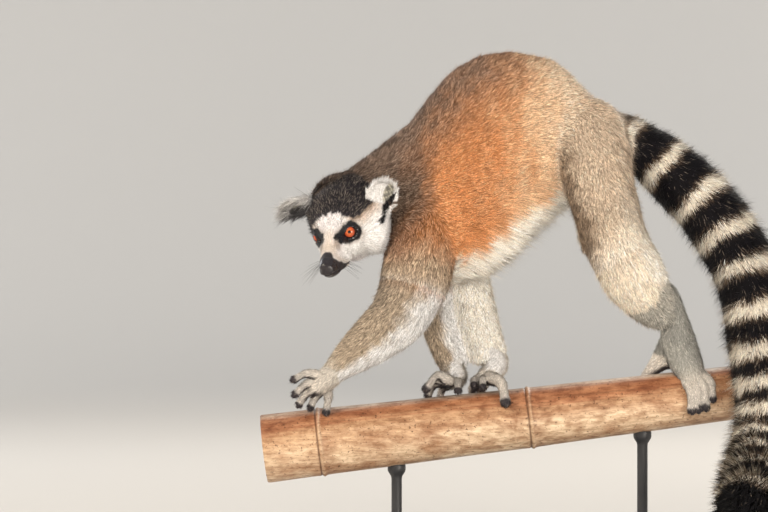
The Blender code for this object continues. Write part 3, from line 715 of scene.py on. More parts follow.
def with_lids(head, side):
    """The skin drawn to the eyeball round the opening, with a fold round the lids, and sunk inside it."""
    eye = eye_place(head, side)
    lid = EYE_RADIUS + LID_THICK - 0.5 * bump(eye.q, 1.55, 0.13)
    wanted = np.where(eye.q < 1, EYE_RADIUS - SOCKET, lid + (eye.far - lid) * rise(1.35, 2.5, eye.q))
    way = unit(head - EYE_PLACE[side])
    return EYE_PLACE[side] + way * (eye.far + (wanted - eye.far) * eye.near)[:, None]


def mouth_height(x):
    return np.interp(x, MOUTH_X, MOUTH_Z)


def muzzle_hollows(head):
    """How far the skin is pushed in at the nostrils, the nose pad's edge and the mouth."""
    x, y, z = head[:, 0], np.abs(head[:, 1]), head[:, 2]
    # Nostrils: a round pit and a slit that curls out and back from it.
    push = 2.6 * bump(x, 76.5, 2.6) * bump(y, 4.6, 1.7) * bump(z, -11.0, 1.7)
    push += 1.6 * bump(x, 73.5, 2.4) * bump(y, 8.0, 1.6) * bump(z, -9.6, 0.9)
    # The groove below the nose pad and the pad's edge.
    push += 0.9 * bump(y, 0, 0.8) * rise(70, 74, x) * rise(-9, -12, z) * rise(-22, -18, z)
    push += 0.5 * bump(x - 0.15 * (z + 12), 68.5, 0.9) * rise(-18, -15, z)
    # The mouth, with a lip over it.
    corner, front = MOUTH_X
    along = np.clip((x - corner) / (front - corner), 0, 1)
    above = z - mouth_height(x) + 1.2 * np.sin(along * math.pi)
    push += 1.5 * bump(above, 0, 0.95) * rise(corner - 2, corner + 3, x)
    return push - 0.5 * bump(above, 2.2, 1.3) * rise(corner, corner + 6, x)


def head_shell():
    """The head's skin in its own axes, with lids, nostrils and mouth."""
    mesh = fused(head_forms(), HEAD_VOXEL, 10)
    relaxed(mesh, rise(34, 16, places(mesh)[:, 0]), 60)  # the face keeps its forms
    head = places(mesh)
    head = narrowed(head - normals(mesh) * head_depth(head)[:, None])
    for side in (1, -1):
        head = with_lids(head, side)
    set_places(mesh, head)
    set_places(mesh, head - normals(mesh) * muzzle_hollows(head)[:, None])
    return mesh


def head_skin():
    """The head with its ears, and the points that each of them gives it."""
    mesh = head_shell()
    parts = [("head", from_head(places(mesh)))]
    for side, name in EARS:
        ear = fused([ear_form(side)], EAR_VOXEL, 3)
        parts.append((name, from_head(places(ear))))
        mesh = united(mesh, ear)
    set_places(mesh, from_head(places(mesh)))
    return mesh, parts


# ================================================================ the rest of the skin
FLESH = ["abdomen", "chest", "neck", "rump", "head", "jaw", "nose"]
FLESH += [f"{part}_{side}" for part in ("ear", "upper_arm", "forearm", "hand", "thigh", "shank", "foot")
          for side in ("left", "right")]
FLESH += [f"tail_{i}" for i in (1, 2, 3, 4)]
ON_HEAD = ("head", "jaw", "nose", "ear")
HIP = array(72, -30, 500)
SHOULDER_JOINT = array(-98, -30, 405)
DEEPEST_COAT = 13
PALM_COAT = 0.9
DIGIT_COAT = 0.35


def node_mesh(name):
    """A copy of a node's mesh, its split points merged and swollen a little."""
    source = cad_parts[name]
    bm = bmesh.new()
    bm.from_mesh(source.data)
    bm.transform(source.matrix_world)
    bmesh.ops.remove_doubles(bm, verts=bm.verts, dist=1e-6)
    bmesh.ops.recalc_face_normals(bm, faces=bm.faces)
    bm.normal_update()
    for v in bm.verts:
        v.co += v.normal * OVERLAP * MM
    return mesh_from(bm)


def body_places(p):
    """What locate finds for places on the trunk, limbs and tail."""
    return locate(p, np.zeros(len(p), int))


def body_skin():
    """Trunk, limbs and tail: the CAD's forms fused, smoothed and drawn in by the depth of the coat."""
    parts = [name for name in FLESH if name.split("_")[0] not in ON_HEAD + ("hand", "foot")]
    mesh = fused([node_mesh(name) for name in parts], BODY_VOXEL, 9)
    p = places(mesh)
    hip = np.linalg.norm(p - HIP, axis=1)
    shoulder = np.linalg.norm(p - SHOULDER_JOINT, axis=1)
    relaxed(mesh, np.maximum(rise(40, 15, hip), rise(72, 28, shoulder)), 50)  # where the limbs join
    p = places(mesh) - normals(mesh) * (3.0 * rise(26, 6, hip))[:, None]
    # The hollow flank behind the ribs: the belly is drawn up.
    trunk = rise(0.25, 0.75, body_places(p).weights["trunk"])
    hang = np.maximum(0, np.interp(p[:, 0], *array(*BELLY).T) - p[:, 2]) * trunk
    p[:, 2] += 0.85 * hang
    set_places(mesh, p)
    relaxed(mesh, rise(0, 6, hang), 12)
    p = places(mesh)
    depth = np.minimum(body_places(p).depth, DEEPEST_COAT)
    set_places(mesh, p - normals(mesh) * (depth + OVERLAP)[:, None])
    return smoothed(mesh, 2)


def digit_form(root, joint, tip, radius):
    points = curve_through([root, joint, tip], 8)
    t = np.linspace(0, 1, len(points))
    swell = 1.42 - 0.52 * rise(0.0, 0.75, t) + 0.12 * rise(0.82, 0.95, t)
    r = radius * (swell + 0.07 * bump(t, 0.5, 0.09)) - DIGIT_COAT  # thicker at the knuckle
    return limb(np.column_stack([points, r, r]), steps=1, sides=20)


def extremity_skin(shape):
    palm = array(*shape.palm)
    palm[:, 3:] -= PALM_COAT
    forms = [limb(palm)] + [digit_form(*digit) for digit in shape.digits]
    if hasattr(shape, "web"):
        forms.append(limb(shape.web))
    return fused(forms, HAND_VOXEL, 3)


# ================================================================ markings
# Linear colours of the coat.
RUFOUS = array(0.56, 0.235, 0.092)
PALE_RUFOUS = array(0.72, 0.45, 0.26)
SLATE = array(0.23, 0.155, 0.115)
NAPE_BROWN = array(0.215, 0.145, 0.11)
# the shoulder's brown, deepened as painted shade below the head
SHOULDER_BROWN_AND_SHADE = array(0.25, 0.125, 0.07)
BACK_BROWN = array(0.37, 0.19, 0.105)
BEIGE = array(0.68, 0.54, 0.41)
PALE_BEIGE = array(0.86, 0.73, 0.59)
RUMP_BEIGE = array(0.76, 0.57, 0.41)
MARGIN = array(0.22, 0.145, 0.09)
# a grey that stands in for the shadow on the near shank and foot: painted shadow
PAINTED_LEG_SHADOW = array(0.30, 0.30, 0.275)
CREAM = array(0.92, 0.845, 0.745)
WHITE = array(0.90, 0.87, 0.85)
ARM_BEIGE = array(0.52, 0.36, 0.235)
ARM_GREY = array(0.38, 0.30, 0.22)
HAND_WHITE = array(0.64, 0.585, 0.52)
HAND_GREY = array(0.40, 0.37, 0.35)
CAP = array(0.024, 0.021, 0.025)
CAP_EDGE = array(0.26, 0.155, 0.08)
PALE_TIP = array(0.24, 0.195, 0.15)
BLACK = array(0.009, 0.008, 0.010)
DARK_SKIN = array(0.024, 0.020, 0.022)
TAIL_WHITE = array(0.84, 0.76, 0.65)
TAIL_EDGE = array(0.34, 0.235, 0.155)
EAR_INNER = array(0.30, 0.28, 0.22)


def plain(colour, at):
    """The same colour at every place."""
    return np.tile(colour, (len(at.p), 1))


def trunk_colour(at):
    x, z = at.p[:, 0], at.p[:, 2]
    blur = 8 * tangled(at.p, 34, 3) + 5 * tangled(at.p, 13, 5)
    high = at.high + 0.05 * tangled(at.p, 24, 7)
    behind_ear = x + 0.6 * blur + 0.8 * np.maximum(0, 392 - z)
    # The white below has its edge higher where the skin faces down.
    facing_side = np.abs(at.n[:, 1])
    edge = np.interp(x, *array(*BELLY_WHITE).T)
    below = edge + 12 * rise(0.75, 0.3, facing_side) * rise(0, -0.5, at.n[:, 2]) - z + 0.7 * blur
    sheltered = np.maximum(rise(-112, -86, x), rise(0.6, 0.25, facing_side))
    return layered(
        RUFOUS * (1 + 0.10 * rise(0.7, -0.1, high) + 0.12 * rise(-58, -82, x))[:, None],
        # Paler towards the rump.
        (PALE_RUFOUS, rise(-58, 20, x + 1.5 * blur)),
        # the extra share on the top of the back is a painted sheen of light
        (RUMP_BEIGE, rise(-30, 46, x + 1.5 * blur) * (0.45 + 0.5 * rise(0.2, 0.85, high))),
        (RUMP_BEIGE, rise(18, 52, x + blur)),
        (BEIGE, rise(64, 90, x + blur)),
        # Darker along the back and towards the shoulder and the nape, at the shoulder deepened with painted
        # shade below the head.
        (BACK_BROWN, rise(0.45, 0.97, high) * rise(30, -40, x + blur) * 0.8),
        (SHOULDER_BROWN_AND_SHADE, rise(-92, -119, x + 0.8 * blur) * 0.92 * rise(310, 345, z)),
        (NAPE_BROWN, rise(-120, -162, x + blur - 0.25 * (z - 400)) * 0.9),
        (SLATE, rise(0.80, 1.0, high) * rise(0, -60, x + blur) * 0.75),
        # painted shadow under the cheek, behind the ear
        (SLATE * 0.5, rise(-90, -112, behind_ear) * rise(445, 405, z) * rise(330, 355, z) * 0.9),
        # Beige into the arms, white below.
        (ARM_BEIGE, rise(318, 288, z + blur) * rise(-70, -95, x)),
        (PALE_RUFOUS * 1.1, rise(-18, 0, below) * 0.55 * sheltered),
        (CREAM, rise(-8, 9, below) * sheltered))


def upper_arm_colour(at, inward, front, blur):
    share = at.share
    return layered(
        plain(RUFOUS * 0.8, at),
        (ARM_BEIGE * 1.05, rise(0.45, 0.95, share + 0.6 * blur)),
        # the shoulder's brown down the arm's front, deepened with painted shade below the head
        (SHOULDER_BROWN_AND_SHADE, rise(-0.1, 0.6, front) * rise(0.8, 0.15, share) * 0.85),
        (ARM_GREY, rise(0.55, 1.0, share) * 0.6),
        # painted shadow of the head on the arm's front edge
        (SHOULDER_BROWN_AND_SHADE * 1.2, rise(0.15, 0.8, front) * rise(1.0, 0.75, share) * 0.7),
        (CREAM, rise(0.45, 0.8, inward + blur) * rise(0.3, 0.65, share)))


def forearm_colour(at, inward, front, blur):
    inside = rise(0.15, 0.5, inward + blur) * ~on_run(at, "forearm_right")
    return layered(
        plain(ARM_GREY, at),
        (HAND_WHITE, rise(0.75, 1.02, at.share) * 0.8),
        (WHITE, np.maximum(inside, rise(0.10, -0.75, front + 0.8 * blur))))


def thigh_colour(at, inward, front, blur):
    shaded = 1.06 - 0.16 * bump(at.share, 0.84, 0.16)
    pale = mix(plain(BEIGE, at), PALE_BEIGE, rise(0.86, 1.2, at.share + 0.3 * rise(0.2, -0.6, front)))
    return layered(
        pale * shaded[:, None],
        (MARGIN, rise(0.42, 0.95, front + 0.5 * blur) * rise(0.12, 0.3, at.share) * 0.75),
        (CREAM, rise(0.25, 0.55, inward + blur)))


def shank_colour(at, inward, front, blur):
    """Pale above, and on the near leg grey below: a painted shadow on that leg."""
    shadow_edge = at.share + 0.4 * blur + 0.12 * rise(-0.2, -0.7, front)
    grey = rise(0.55, 0.67, shadow_edge) * on_run(at, "shank_left")
    behind = rise(-0.4, -0.85, front) * 0.7 * (1 - 0.8 * grey)
    return layered(
        PALE_BEIGE * (0.90 + 0.15 * rise(0.0, 0.3, at.share))[:, None],
        (HAND_WHITE * 1.1, rise(0.6, 1.0, at.share) * 0.7),
        # painted shadow: the near shank greyed below
        (PAINTED_LEG_SHADOW, rise(-0.3, 0.3, -inward) * grey * 0.85),
        (CREAM, np.maximum(rise(0.3, 0.6, inward + blur), behind)))


def paw_colour(at, inward, lightness):
    """Hands and feet: greyer towards the tips of their digits, dark underneath."""
    sole = rise(-0.35, -0.75, at.n[:, 2]) * rise(0.2, 0.5, at.share)
    return layered(
        plain(HAND_WHITE * lightness, at),
        (HAND_GREY, rise(0.72, 1.0, at.share) * 0.5),
        # painted shadow: the near foot greyed
        (PAINTED_LEG_SHADOW, rise(0.88, 0.62, at.share) * on_run(at, "foot_left") * 0.85),
        (WHITE, rise(0.3, 0.7, inward) * rise(0.6, 0.2, at.share)),
        (DARK_SKIN * 2.0, np.maximum(sole, rise(1.015, 1.045, at.share))))


def limb_colour(at, kind):
    blur = 0.10 * tangled(at.p, 20, 9) + 0.06 * tangled(at.p, 9, 10)
    inward = np.where(np.isin(at.run, LEFT_RUNS), 1, -1) * at.n[:, 1]  # 1 where the skin faces the other limb
    if kind in ("hand", "foot"):
        return paw_colour(at, inward, 1.2 if kind == "foot" else 1.0)
    makers = {"upper_arm": upper_arm_colour, "forearm": forearm_colour, "thigh": thigh_colour,
              "shank": shank_colour}
    return makers[kind](at, inward, at.high + blur, blur)


def tail_colour(at):
    along = at.share * TAIL_LENGTH + 2.2 * tangled(at.p, 17, 12) + 1.4 * tangled(at.p, 7, 13)
    gap = np.abs(along[:, None] - RING_MIDDLES[None])
    middle = RING_MIDDLES[gap.argmin(1)]
    gap = gap.min(1)
    half = np.interp(middle, (15, 60, 160, 300, 430, 530), (5, 5.8, 6.4, 6.6, 6.0, 4.8))
    return layered(
        plain(BLACK, at),
        (TAIL_EDGE, bump(gap, half, 3.2) * 0.6),
        (TAIL_WHITE, rise(half + 1.6, half - 1.6, gap)),
        (BEIGE, rise(16, 4, along)),
        (BLACK, rise(TAIL_LENGTH - 16, TAIL_LENGTH - 11, along)))


def cap_edge(head):
    """The height of the dark cap's lower edge."""
    return np.interp(np.abs(head[:, 1]), (0, 6, 12.5, 19, 22.5, 30), (25.6, 25.1, 23.2, 19.6, 15.8, 16.2))


def muzzle_edge(head):
    """How far forward the bare black skin of the muzzle begins."""
    return np.interp(head[:, 2], (-24, -17, -9, -4, 0, 3), (49, 56.5, 65.5, 67.0, 62.0, 58.0))


def segment_gap(p, start, end):
    """Each place's distance from a straight segment."""
    way = end - start
    t = np.clip((p - start) @ way / (way @ way), 0, 1)
    return np.linalg.norm(p - start - t[:, None] * way, axis=1)


def eye_marks(colour, at, side, blur):
    """The black patch round an eye, brown round it, and the brown line down from its inner corner."""
    x, y, z = at.head.T
    patch, ahead = eye_patch(at.head, side)
    patch = patch + 0.06 * blur
    here = ahead * (y * side > -1)
    tear = rise(4.5, 1.5, np.abs(np.abs(y) - 9.5 + 0.08 * (x - 44))) * rise(38, 43, x) * rise(59, 50, x)
    return layered(
        colour,
        (CAP_EDGE * 0.8, rise(1.38, 0.98, patch) * here * rise(44, 36, x) * 0.45),
        (CAP_EDGE * 0.55, tear * (y * side > 0) * rise(-12, -4, z) * 0.65),
        (BLACK, rise(1.08, 0.91, patch) * here))


def head_colour(at):
    x, y, z = at.head.T
    wide = np.abs(y)
    blur = 1.5 * tangled(at.p, 11, 15) + 0.9 * tangled(at.p, 4, 16)
    above = z - cap_edge(at.head) + 0.7 * blur
    behind = rise(-29, -36, x + blur) * rise(40, 20, np.abs(z + 2))
    colour = layered(
        plain(WHITE, at),
        (WHITE * array(0.80, 0.78, 0.80), rise(18, 8, wide)),
        (BEIGE * 1.25, bump(wide, 0, 9) * rise(34, 44, x) * 0.45),  # the bridge of the nose
        # The cap, brown at its edge and on the temples, and the nape behind it.
        (CAP_EDGE * 1.8, bump(above, -4, 6) * rise(17, 26, wide) * rise(26, 14, x) * 0.5),
        (CAP_EDGE, bump(above, -0.5, 2.4) * rise(8, 24, wide) * 0.75),
        (CAP, rise(-1.2, 1.2, above)),
        (NAPE_BROWN * 0.6, np.maximum(behind * 0.9, rise(-35, -42, x))))
    for side in (1, -1):
        colour = eye_marks(colour, at, side, blur)
    ear_slit = segment_gap(at.head * array(1, 0, 1), array(-20, 0, 6), array(1, 0, -1))
    from_edge = x - muzzle_edge(at.head)
    lips = bump(z - mouth_height(x), -0.3, 2.6) * rise(MOUTH_X[0] - 3, MOUTH_X[0] + 1, x)
    return layered(
        colour,
        # The far side is painted dark out to the cap as painted shade, and the slit of the near ear runs on
        # over its root.
        (CAP, rise(-17, -22, y + blur) * rise(-16, -8, x) * rise(-7, -1, z)),
        (BLACK, rise(3.2, 1.6, ear_slit + 0.3 * blur) * (y > 20)),
        # Bare black skin of the nose, the front of the muzzle, and the lips back to the mouth's corner.
        (BEIGE * 0.75, bump(from_edge, -4, 4) * rise(34, 44, x) * 0.45),
        (DARK_SKIN, np.maximum(rise(-1.5, 1.2, from_edge + 0.6 * blur), rise(0.45, 0.85, lips))))


def ear_colour(at):
    """White, its hollow greenish grey above and black along the slit that leads into the ear."""
    # a little brighter than the face's white: painted light against the shade of the ear's hollow
    colour = plain(WHITE * 1.08, at)
    fleck = rise(-0.2, 0.5, tangled(at.p, 5, 18))
    for side, name in EARS:
        here = on_run(at, name)
        across, along, face = ear_place(at.head, side)
        hollow = rise(-0.1, 0.3, at.n @ (TURN @ face)) * here
        inside = rise(0.36, 0.22, np.sqrt((across - 0.36) ** 2 + (0.8 * (along - 0.68)) ** 2)) * hollow
        slit = np.abs(along - across + 0.16) + 0.08 * tangled(at.p, 6, 19)
        slit = rise(0.25, 0.13, slit) * rise(-0.15, 0.0, across) * rise(0.85, 0.74, across)
        colour = layered(
            colour,
            (mix(EAR_INNER * 0.45, EAR_INNER * 1.9, fleck), inside * 0.9),
            (BLACK, slit * hollow * (side == 1)))
        if side == -1:  # greyer, and its lower half is dark: painted shade
            streaks_and_shade = 0.55 + 0.25 * tangled(at.p, 5, 26)
            colour = colour * np.where(here, streaks_and_shade, 1.0)[:, None]
            colour = mix(colour, CAP, rise(0.0, 0.4, across + 0.1 * tangled(at.p, 8, 20)) * here * 0.9)
    return colour


def coat_colour(at):
    """The markings at each place, each kind of run giving its share."""
    makers = {"trunk": trunk_colour, "tail": tail_colour, "head": head_colour, "ear": ear_colour}
    colour = np.zeros((len(at.p), 3))
    for kind in KINDS:
        made = makers[kind](at) if kind in makers else limb_colour(at, kind)
        colour += made * at.weights[kind][:, None]
    return colour


# ================================================================ the lie of the coat
def head_lie(head):
    """On the head the hair runs back from the nose, and out from round the eyes."""
    x, y, z = (head[:, i : i + 1] for i in range(3))
    back = unit(head - array(78, 0, -14)) + array(-0.55, 0, 0)
    back += array(0, 0.35, 0) * np.sign(y) * rise(10, 30, np.abs(y))
    back += array(0, 0, -0.55) * rise(-2, -18, z) * rise(40, 20, x)
    for side in (1, -1):
        away = head - EYE_PLACE[side]
        back = back + unit(away) * 0.8 * rise(26, 12, np.linalg.norm(away, axis=1, keepdims=True))
    return mix(back @ TURN.T, array(0.85, 0, 0.30), rise(-8, -34, head[:, 0]))


def lie(at):
    """The direction of the hair at each place, along the skin."""
    trunk, head, ear = (at.weights[kind][:, None] for kind in ("trunk", "head", "ear"))
    flow = at.flow + trunk * (array(0.25, 0, -0.42) * (1 - np.abs(at.high))[:, None])
    flow = flow * (1 - head) + head_lie(at.head) * head
    flow = flow * (1 - ear) + RUN.way[at.near] * ear  # out to the ear's rim
    return unit(flow - at.n * (flow * at.n).sum(1, keepdims=True))


# ================================================================ tufts
def grow(skin, pick, most):
    """Chooses roots on the picked faces, thicker where the coat is: their places, normals and labels."""
    tri = skin.faces[pick]
    a, b, c = (skin.p[tri[:, i]] for i in range(3))
    area = np.linalg.norm(np.cross(b - a, c - a), axis=1) / 2
    chance = area * skin.at.density[tri].mean(1)
    total = chance.sum()
    count = int(min(most, total))
    chosen = RNG.choice(len(tri), count, p=chance / total)
    u, v = RNG.random(count), RNG.random(count)
    flip = u + v > 1
    u[flip], v[flip] = 1 - u[flip], 1 - v[flip]
    share = np.stack([1 - u - v, u, v], 1)
    corner = tri[chosen]
    root = (skin.p[corner] * share[..., None]).sum(1)
    normal = unit((skin.n[corner] * share[..., None]).sum(1))
    return root, normal, skin.at.label[corner[np.arange(count), share.argmax(1)]]


def leaning(way, over, angle):
    return way * np.cos(angle)[:, None] + over * np.sin(angle)[:, None]


def blades(root, normal, way, length, width, lift, tip_lift, roll):
    """Curved blades of three triangles: places, faces and a normal for each point."""
    side = leaning(unit(np.cross(normal, way)), normal, roll)
    first = leaning(way, normal, lift)
    middle = root + first * (length * 0.5)[:, None]
    tip = middle + leaning(way, normal, tip_lift) * (length * 0.5)[:, None]
    half = side * (width / 2)[:, None]
    points = np.stack([root - half, root + half, middle - half * 0.8, middle + half * 0.8, tip], 1)
    faces = np.arange(len(root))[:, None, None] * 5 + np.array(((0, 1, 3), (0, 3, 2), (2, 3, 4)))
    turned = (np.cross(points[:, 1] - points[:, 0], points[:, 3] - points[:, 0]) * normal).sum(1) < 0
    faces[turned] = faces[turned][:, :, ::-1]
    flat = np.cross(half, first)
    flat = unit(flat * np.sign((flat * normal).sum(1, keepdims=True)))
    soft = unit(normal * 0.62 + flat * 0.38)
    return points.reshape(-1, 3), faces.reshape(-1, 3), np.repeat(soft, 5, axis=0)


def patches(uv, size=0.003):
    """Each tuft's small patch of the unwrap: five corners round its root's place."""
    shape = array((-0.5, 0), (0.5, 0), (-0.5, 0.5), (0.5, 0.5), (0, 1)) * size
    return (uv[:, None, :] + shape[None]).reshape(-1, 2)


def within(share):
    """Shares from 0 to 1 as a coordinate of the unwrap, clear of its border."""
    return 0.005 + 0.985 * share


def unwrap(at, columns):
    """A root's place on an unwrap of the skin: round its run, and along it. Runs lie side by side."""
    top = RUN.top[at.near]
    side = np.cross(RUN.way[at.near], top)
    angle = np.arctan2((at.out * side).sum(1), (at.out * top).sum(1)) / math.tau + 0.5
    column = sum(i * on_run(at, name) for i, name in enumerate(columns))
    u = (column + 0.02 + 0.96 * angle) / len(columns)
    return np.stack([u * 0.99, within(np.clip((at.share + 0.08) / 1.16, 0, 1))], 1)


def unwrap_head(at):
    """Round the head from below, and up it."""
    out = unit(at.head)
    around = np.arctan2(out[:, 1], out[:, 0]) / math.tau + 0.5
    up = np.arcsin(np.clip(out[:, 2], -1, 1)) / math.pi + 0.5
    return np.stack([within(around), within(up)], 1)


def unwrap_ears(at):
    """Each ear's hollow side and its back lie side by side."""
    uv = np.zeros((len(at.p), 2))
    for i, (side, name) in enumerate(EARS):
        here = on_run(at, name)
        across, along, face = ear_place(at.head, side)
        back = (at.n @ (TURN @ face) < 0).astype(int)
        uv[here] = np.stack([(2 * i + back + 0.5 + 0.42 * np.clip(across, -1.1, 1.1)) / 4,
                             0.01 + 0.97 * np.clip((along + 0.2) / 1.4, 0, 1)], 1)[here]
    return uv


def unwrapped(at, name):
    """The unwrap of a coat piece, one place for each tuft."""
    runs, (low, high), _ = COAT_PIECES[name]
    kind = kind_of(runs[0])
    if kind == "head":
        return unwrap_head(at)
    if kind == "ear":
        return unwrap_ears(at)
    uv = unwrap(at, runs)
    if kind in ("trunk", "tail"):  # a piece takes the whole square for its stretch of the run
        low, high = max(low, -0.02), min(high, 1.02)
        uv[:, 1] = within(np.clip((at.share - low + 0.02) / (high - low + 0.04), 0, 1))
    return uv


# How each coat piece is grown: the runs it covers, the part of the run, and its most tufts.
WHOLE = (-9, 9)
COAT_PIECES = {
    "coat_neck": (["trunk"], (-9, 0.22), 40000),
    "coat_chest": (["trunk"], (0.22, 0.46), 64000),
    "coat_abdomen": (["trunk"], (0.46, 0.70), 51000),
    "coat_rump": (["trunk"], (0.70, 9), 46000),
    "coat_arms": (["upper_arm_left", "forearm_left", "upper_arm_right", "forearm_right"], WHOLE, 54000),
    "coat_leg_left": (["thigh_left", "shank_left"], WHOLE, 46000),
    "coat_leg_right": (["thigh_right", "shank_right"], WHOLE, 46000),
    "coat_paws": (["hand_left", "hand_right", "foot_left", "foot_right"], WHOLE, 31000),
    "coat_tail_upper": (["tail"], (-9, 0.48), 52000),
    "coat_tail_lower": (["tail"], (0.48, 9), 52000),
    "coat_head": (["head"], WHOLE, 62000),
    "coat_ears": (["ear_left", "ear_right"], WHOLE, 12000),
}
LOCK = 5.5  # the size of a lock, in mm
FINE_LOCK = 2.6


def bare(at):
    """Where no hair grows: the nose and lips, and the eyes' openings and lids."""
    x, _, z = at.head.T
    lips = (x > MOUTH_X[0]) & (np.abs(z - mouth_height(x)) < 1.6)
    gone = (x > muzzle_edge(at.head) + 1.0) | lips
    for side in (1, -1):
        eye = eye_place(at.head, side)
        gone |= (eye.q < 1.4) & (eye.near > 0.5)
    return gone & (at.weights["head"] > 0.3)


def subset(at, keep):
    """The fields of locate for the kept places only."""
    kept = {key: value[keep] for key, value in vars(at).items() if key != "weights"}
    return SimpleNamespace(weights={kind: w[keep] for kind, w in at.weights.items()}, **kept)


def roots(name, skin):
    """What locate finds for the roots of a piece's tufts."""
    runs, (low, high), most = COAT_PIECES[name]
    first = skin.faces[:, 0]
    share = skin.at.share[first]
    numbers = [RUN.names.index(run) for run in runs]
    pick = np.isin(skin.at.run[first], numbers) & (share >= low) & (share < high)
    root, normal, label = grow(skin, pick, most)
    here = locate(root, label)
    here.n = normal
    return subset(here, ~bare(here))


def locks(here, kind):
    """The way of each tuft, and four random values that it shares with its lock.

    Neighbours lean the same way and share a shade.
    """
    size = FINE_LOCK if kind in ("head", "hand", "ear") else LOCK
    warped = here.p + 2.0 * np.stack([tangled(here.p, 14, seed) for seed in (21, 22, 23)], 1)
    key = np.floor(warped / size).astype(np.int64)
    lock = np.unique(key, axis=0, return_inverse=True)[1].reshape(-1)
    shared = RNG.normal(size=(lock.max() + 1, 4))[lock]
    way = lie(here)
    side = unit(np.cross(here.n, way))
    sway = 0.16 * shared[:, 0] + 0.14 * RNG.normal(size=len(way)) + 0.10 * tangled(here.p, 30, 24)
    return unit(way + side * sway[:, None]), shared


def shaped(here, kind, way, shared):
    """The tufts as blades, and the way and length that they end up with."""
    count = len(way)
    length = here.length * (1 + 0.10 * shared[:, 1] + 0.16 * RNG.normal(size=count)).clip(0.5, 1.6)
    depth = here.depth
    width = here.width * (0.85 + 0.3 * RNG.random(count))
    if kind == "trunk":  # a long fringe hangs from the lower flank and the breast
        fringe = rise(-0.60, -0.82, here.high) * rise(-95, -60, here.p[:, 0]) * (RNG.random(count) < 0.35)
        length = length * (1 + 1.3 * fringe)
        way = unit(way + fringe[:, None] * array(0.15, 0, -0.9))
    if kind == "head":
        length, depth, width = head_hair(here, length, width)
    if kind == "ear":
        length = length * (1 + 0.8 * ear_rim(here)) * np.where(on_run(here, "ear_right"), 2.3, 1.0)
    # A tuft stands up as high as the coat is deep, and a stray one lifts its tip out of it.
    reach = np.clip(depth / np.maximum(length, 0.1), 0.05, 0.75)
    lift = np.arcsin(np.clip(reach * 1.35, 0, 0.92)) + 0.05 * RNG.normal(size=count) + 0.05 * shared[:, 2]
    tip_lift = np.arcsin(np.clip(reach * 0.55, 0, 0.8)) + 0.10 * RNG.normal(size=count)
    stray = RNG.random(count) < (0.12 if kind == "head" else 0.22)
    tip_lift = tip_lift + stray * RNG.uniform(0.3, 1.0, count) + (0.22 if kind == "tail" else 0.0)
    length = length * np.where(stray, 1.2, 1.0)
    width = width * np.where(stray, 0.6, 1.0)
    roll = RNG.uniform(-0.7, 0.7, count)
    return blades(here.p - here.n * 0.4, here.n, way, length, width, lift, tip_lift, roll), way, length


def tuft_shades(here, kind, way, length, shared):
    """The colours of each tuft's five points: its own shade, darker at the root with painted shade deep in
    the coat, grizzled at the tip.
    """
    # The markings are where the tufts show, not where they are rooted.
    reach_of_colour = 0.85 if kind == "tail" else 0.55
    there = locate(here.p + way * (length * reach_of_colour)[:, None], here.label)
    there.n = here.n
    colour = coat_colour(there)
    tone = (1 + 0.20 * RNG.normal(size=len(way)) + 0.05 * shared[:, 3]).clip(0.6, 1.4)
    grizzle = grizzled(here)
    dice = RNG.random(len(way))
    dark = dice < 0.36 * grizzle
    pale = dice > 1 - (0.17 if kind == "head" else 0.28) * grizzle
    end = colour * np.where(dark, 0.25, np.where(pale, 1.4, 1.0))[:, None] + pale[:, None] * PALE_TIP
    end = end * tone[:, None]
    # darker at the root: partly the hair's darker base, partly painted shade deep in the coat
    base = colour * (tone * (0.60 - 0.15 * grizzle))[:, None]
    middle = mix(colour * tone[:, None], end, 0.55)
    return np.stack([base, base, middle, middle, end], 1).reshape(-1, 3).clip(0.004, 0.95)


def coat_piece(name, skin, finish):
    """One mesh of tufts over its stretch of the skin."""
    kind = kind_of(COAT_PIECES[name][0][0])
    here = roots(name, skin)
    way, shared = locks(here, kind)
    (points, faces, soft), way, length = shaped(here, kind, way, shared)
    mesh = mesh_of(points, faces)
    paint(mesh, tuft_shades(here, kind, way, length, shared))
    layer = mesh.uv_layers.new(name="OFBake")
    corners = values_of(mesh.loops, "vertex_index", np.int32, 1).ravel()
    layer.data.foreach_set("uv", patches(unwrapped(here, name))[corners].astype(np.float32).ravel())
    piece(name, mesh, finish)
    mesh.normals_split_custom_set_from_vertices(soft.astype(np.float32))


def grizzled(at):
    """How much dark and pale tips mix in: most on cap, nape and forearms, least on the white face."""
    w = at.weights
    x = at.p[:, 0]
    trunk = 0.48 + 0.4 * rise(-60, -120, x) + 0.25 * rise(0.6, 0.95, at.high) + 0.15 * rise(0, 40, x)
    trunk = trunk * rise(-0.85, -0.6, at.high)
    arms = 0.75 * (w["forearm"] + w["upper_arm"])
    legs = 0.42 * (w["thigh"] + w["shank"]) + 0.25 * (w["hand"] + w["foot"])
    cap = rise(-1, 2, at.head[:, 2] - cap_edge(at.head))
    return np.clip(trunk * w["trunk"] + arms + legs + w["head"] * (0.05 + 0.9 * cap) + 0.1 * w["tail"], 0, 1)


def head_hair(at, length, width):
    """Hair length, the height it reaches over the skin, and tuft width on the head."""
    x, y, z = at.head.T
    long = np.interp(x, (-20, 0, 20, 38, 55, 60), (8.5, 7.5, 5.5, 3.6, 2.2, 1.6))
    for side in (1, -1):
        eye = eye_place(at.head, side)
        long = long * (1 - 0.55 * eye.near * rise(3.2, 1.6, eye.q))
    cheek = rise(20, 34, np.abs(y)) * rise(4, -10, z)
    long = long * (1 + 0.30 * cheek) * length / at.length
    return long, head_depth(at.head), np.clip(0.09 * long + 0.22, 0.3, 1.0) * width / at.width


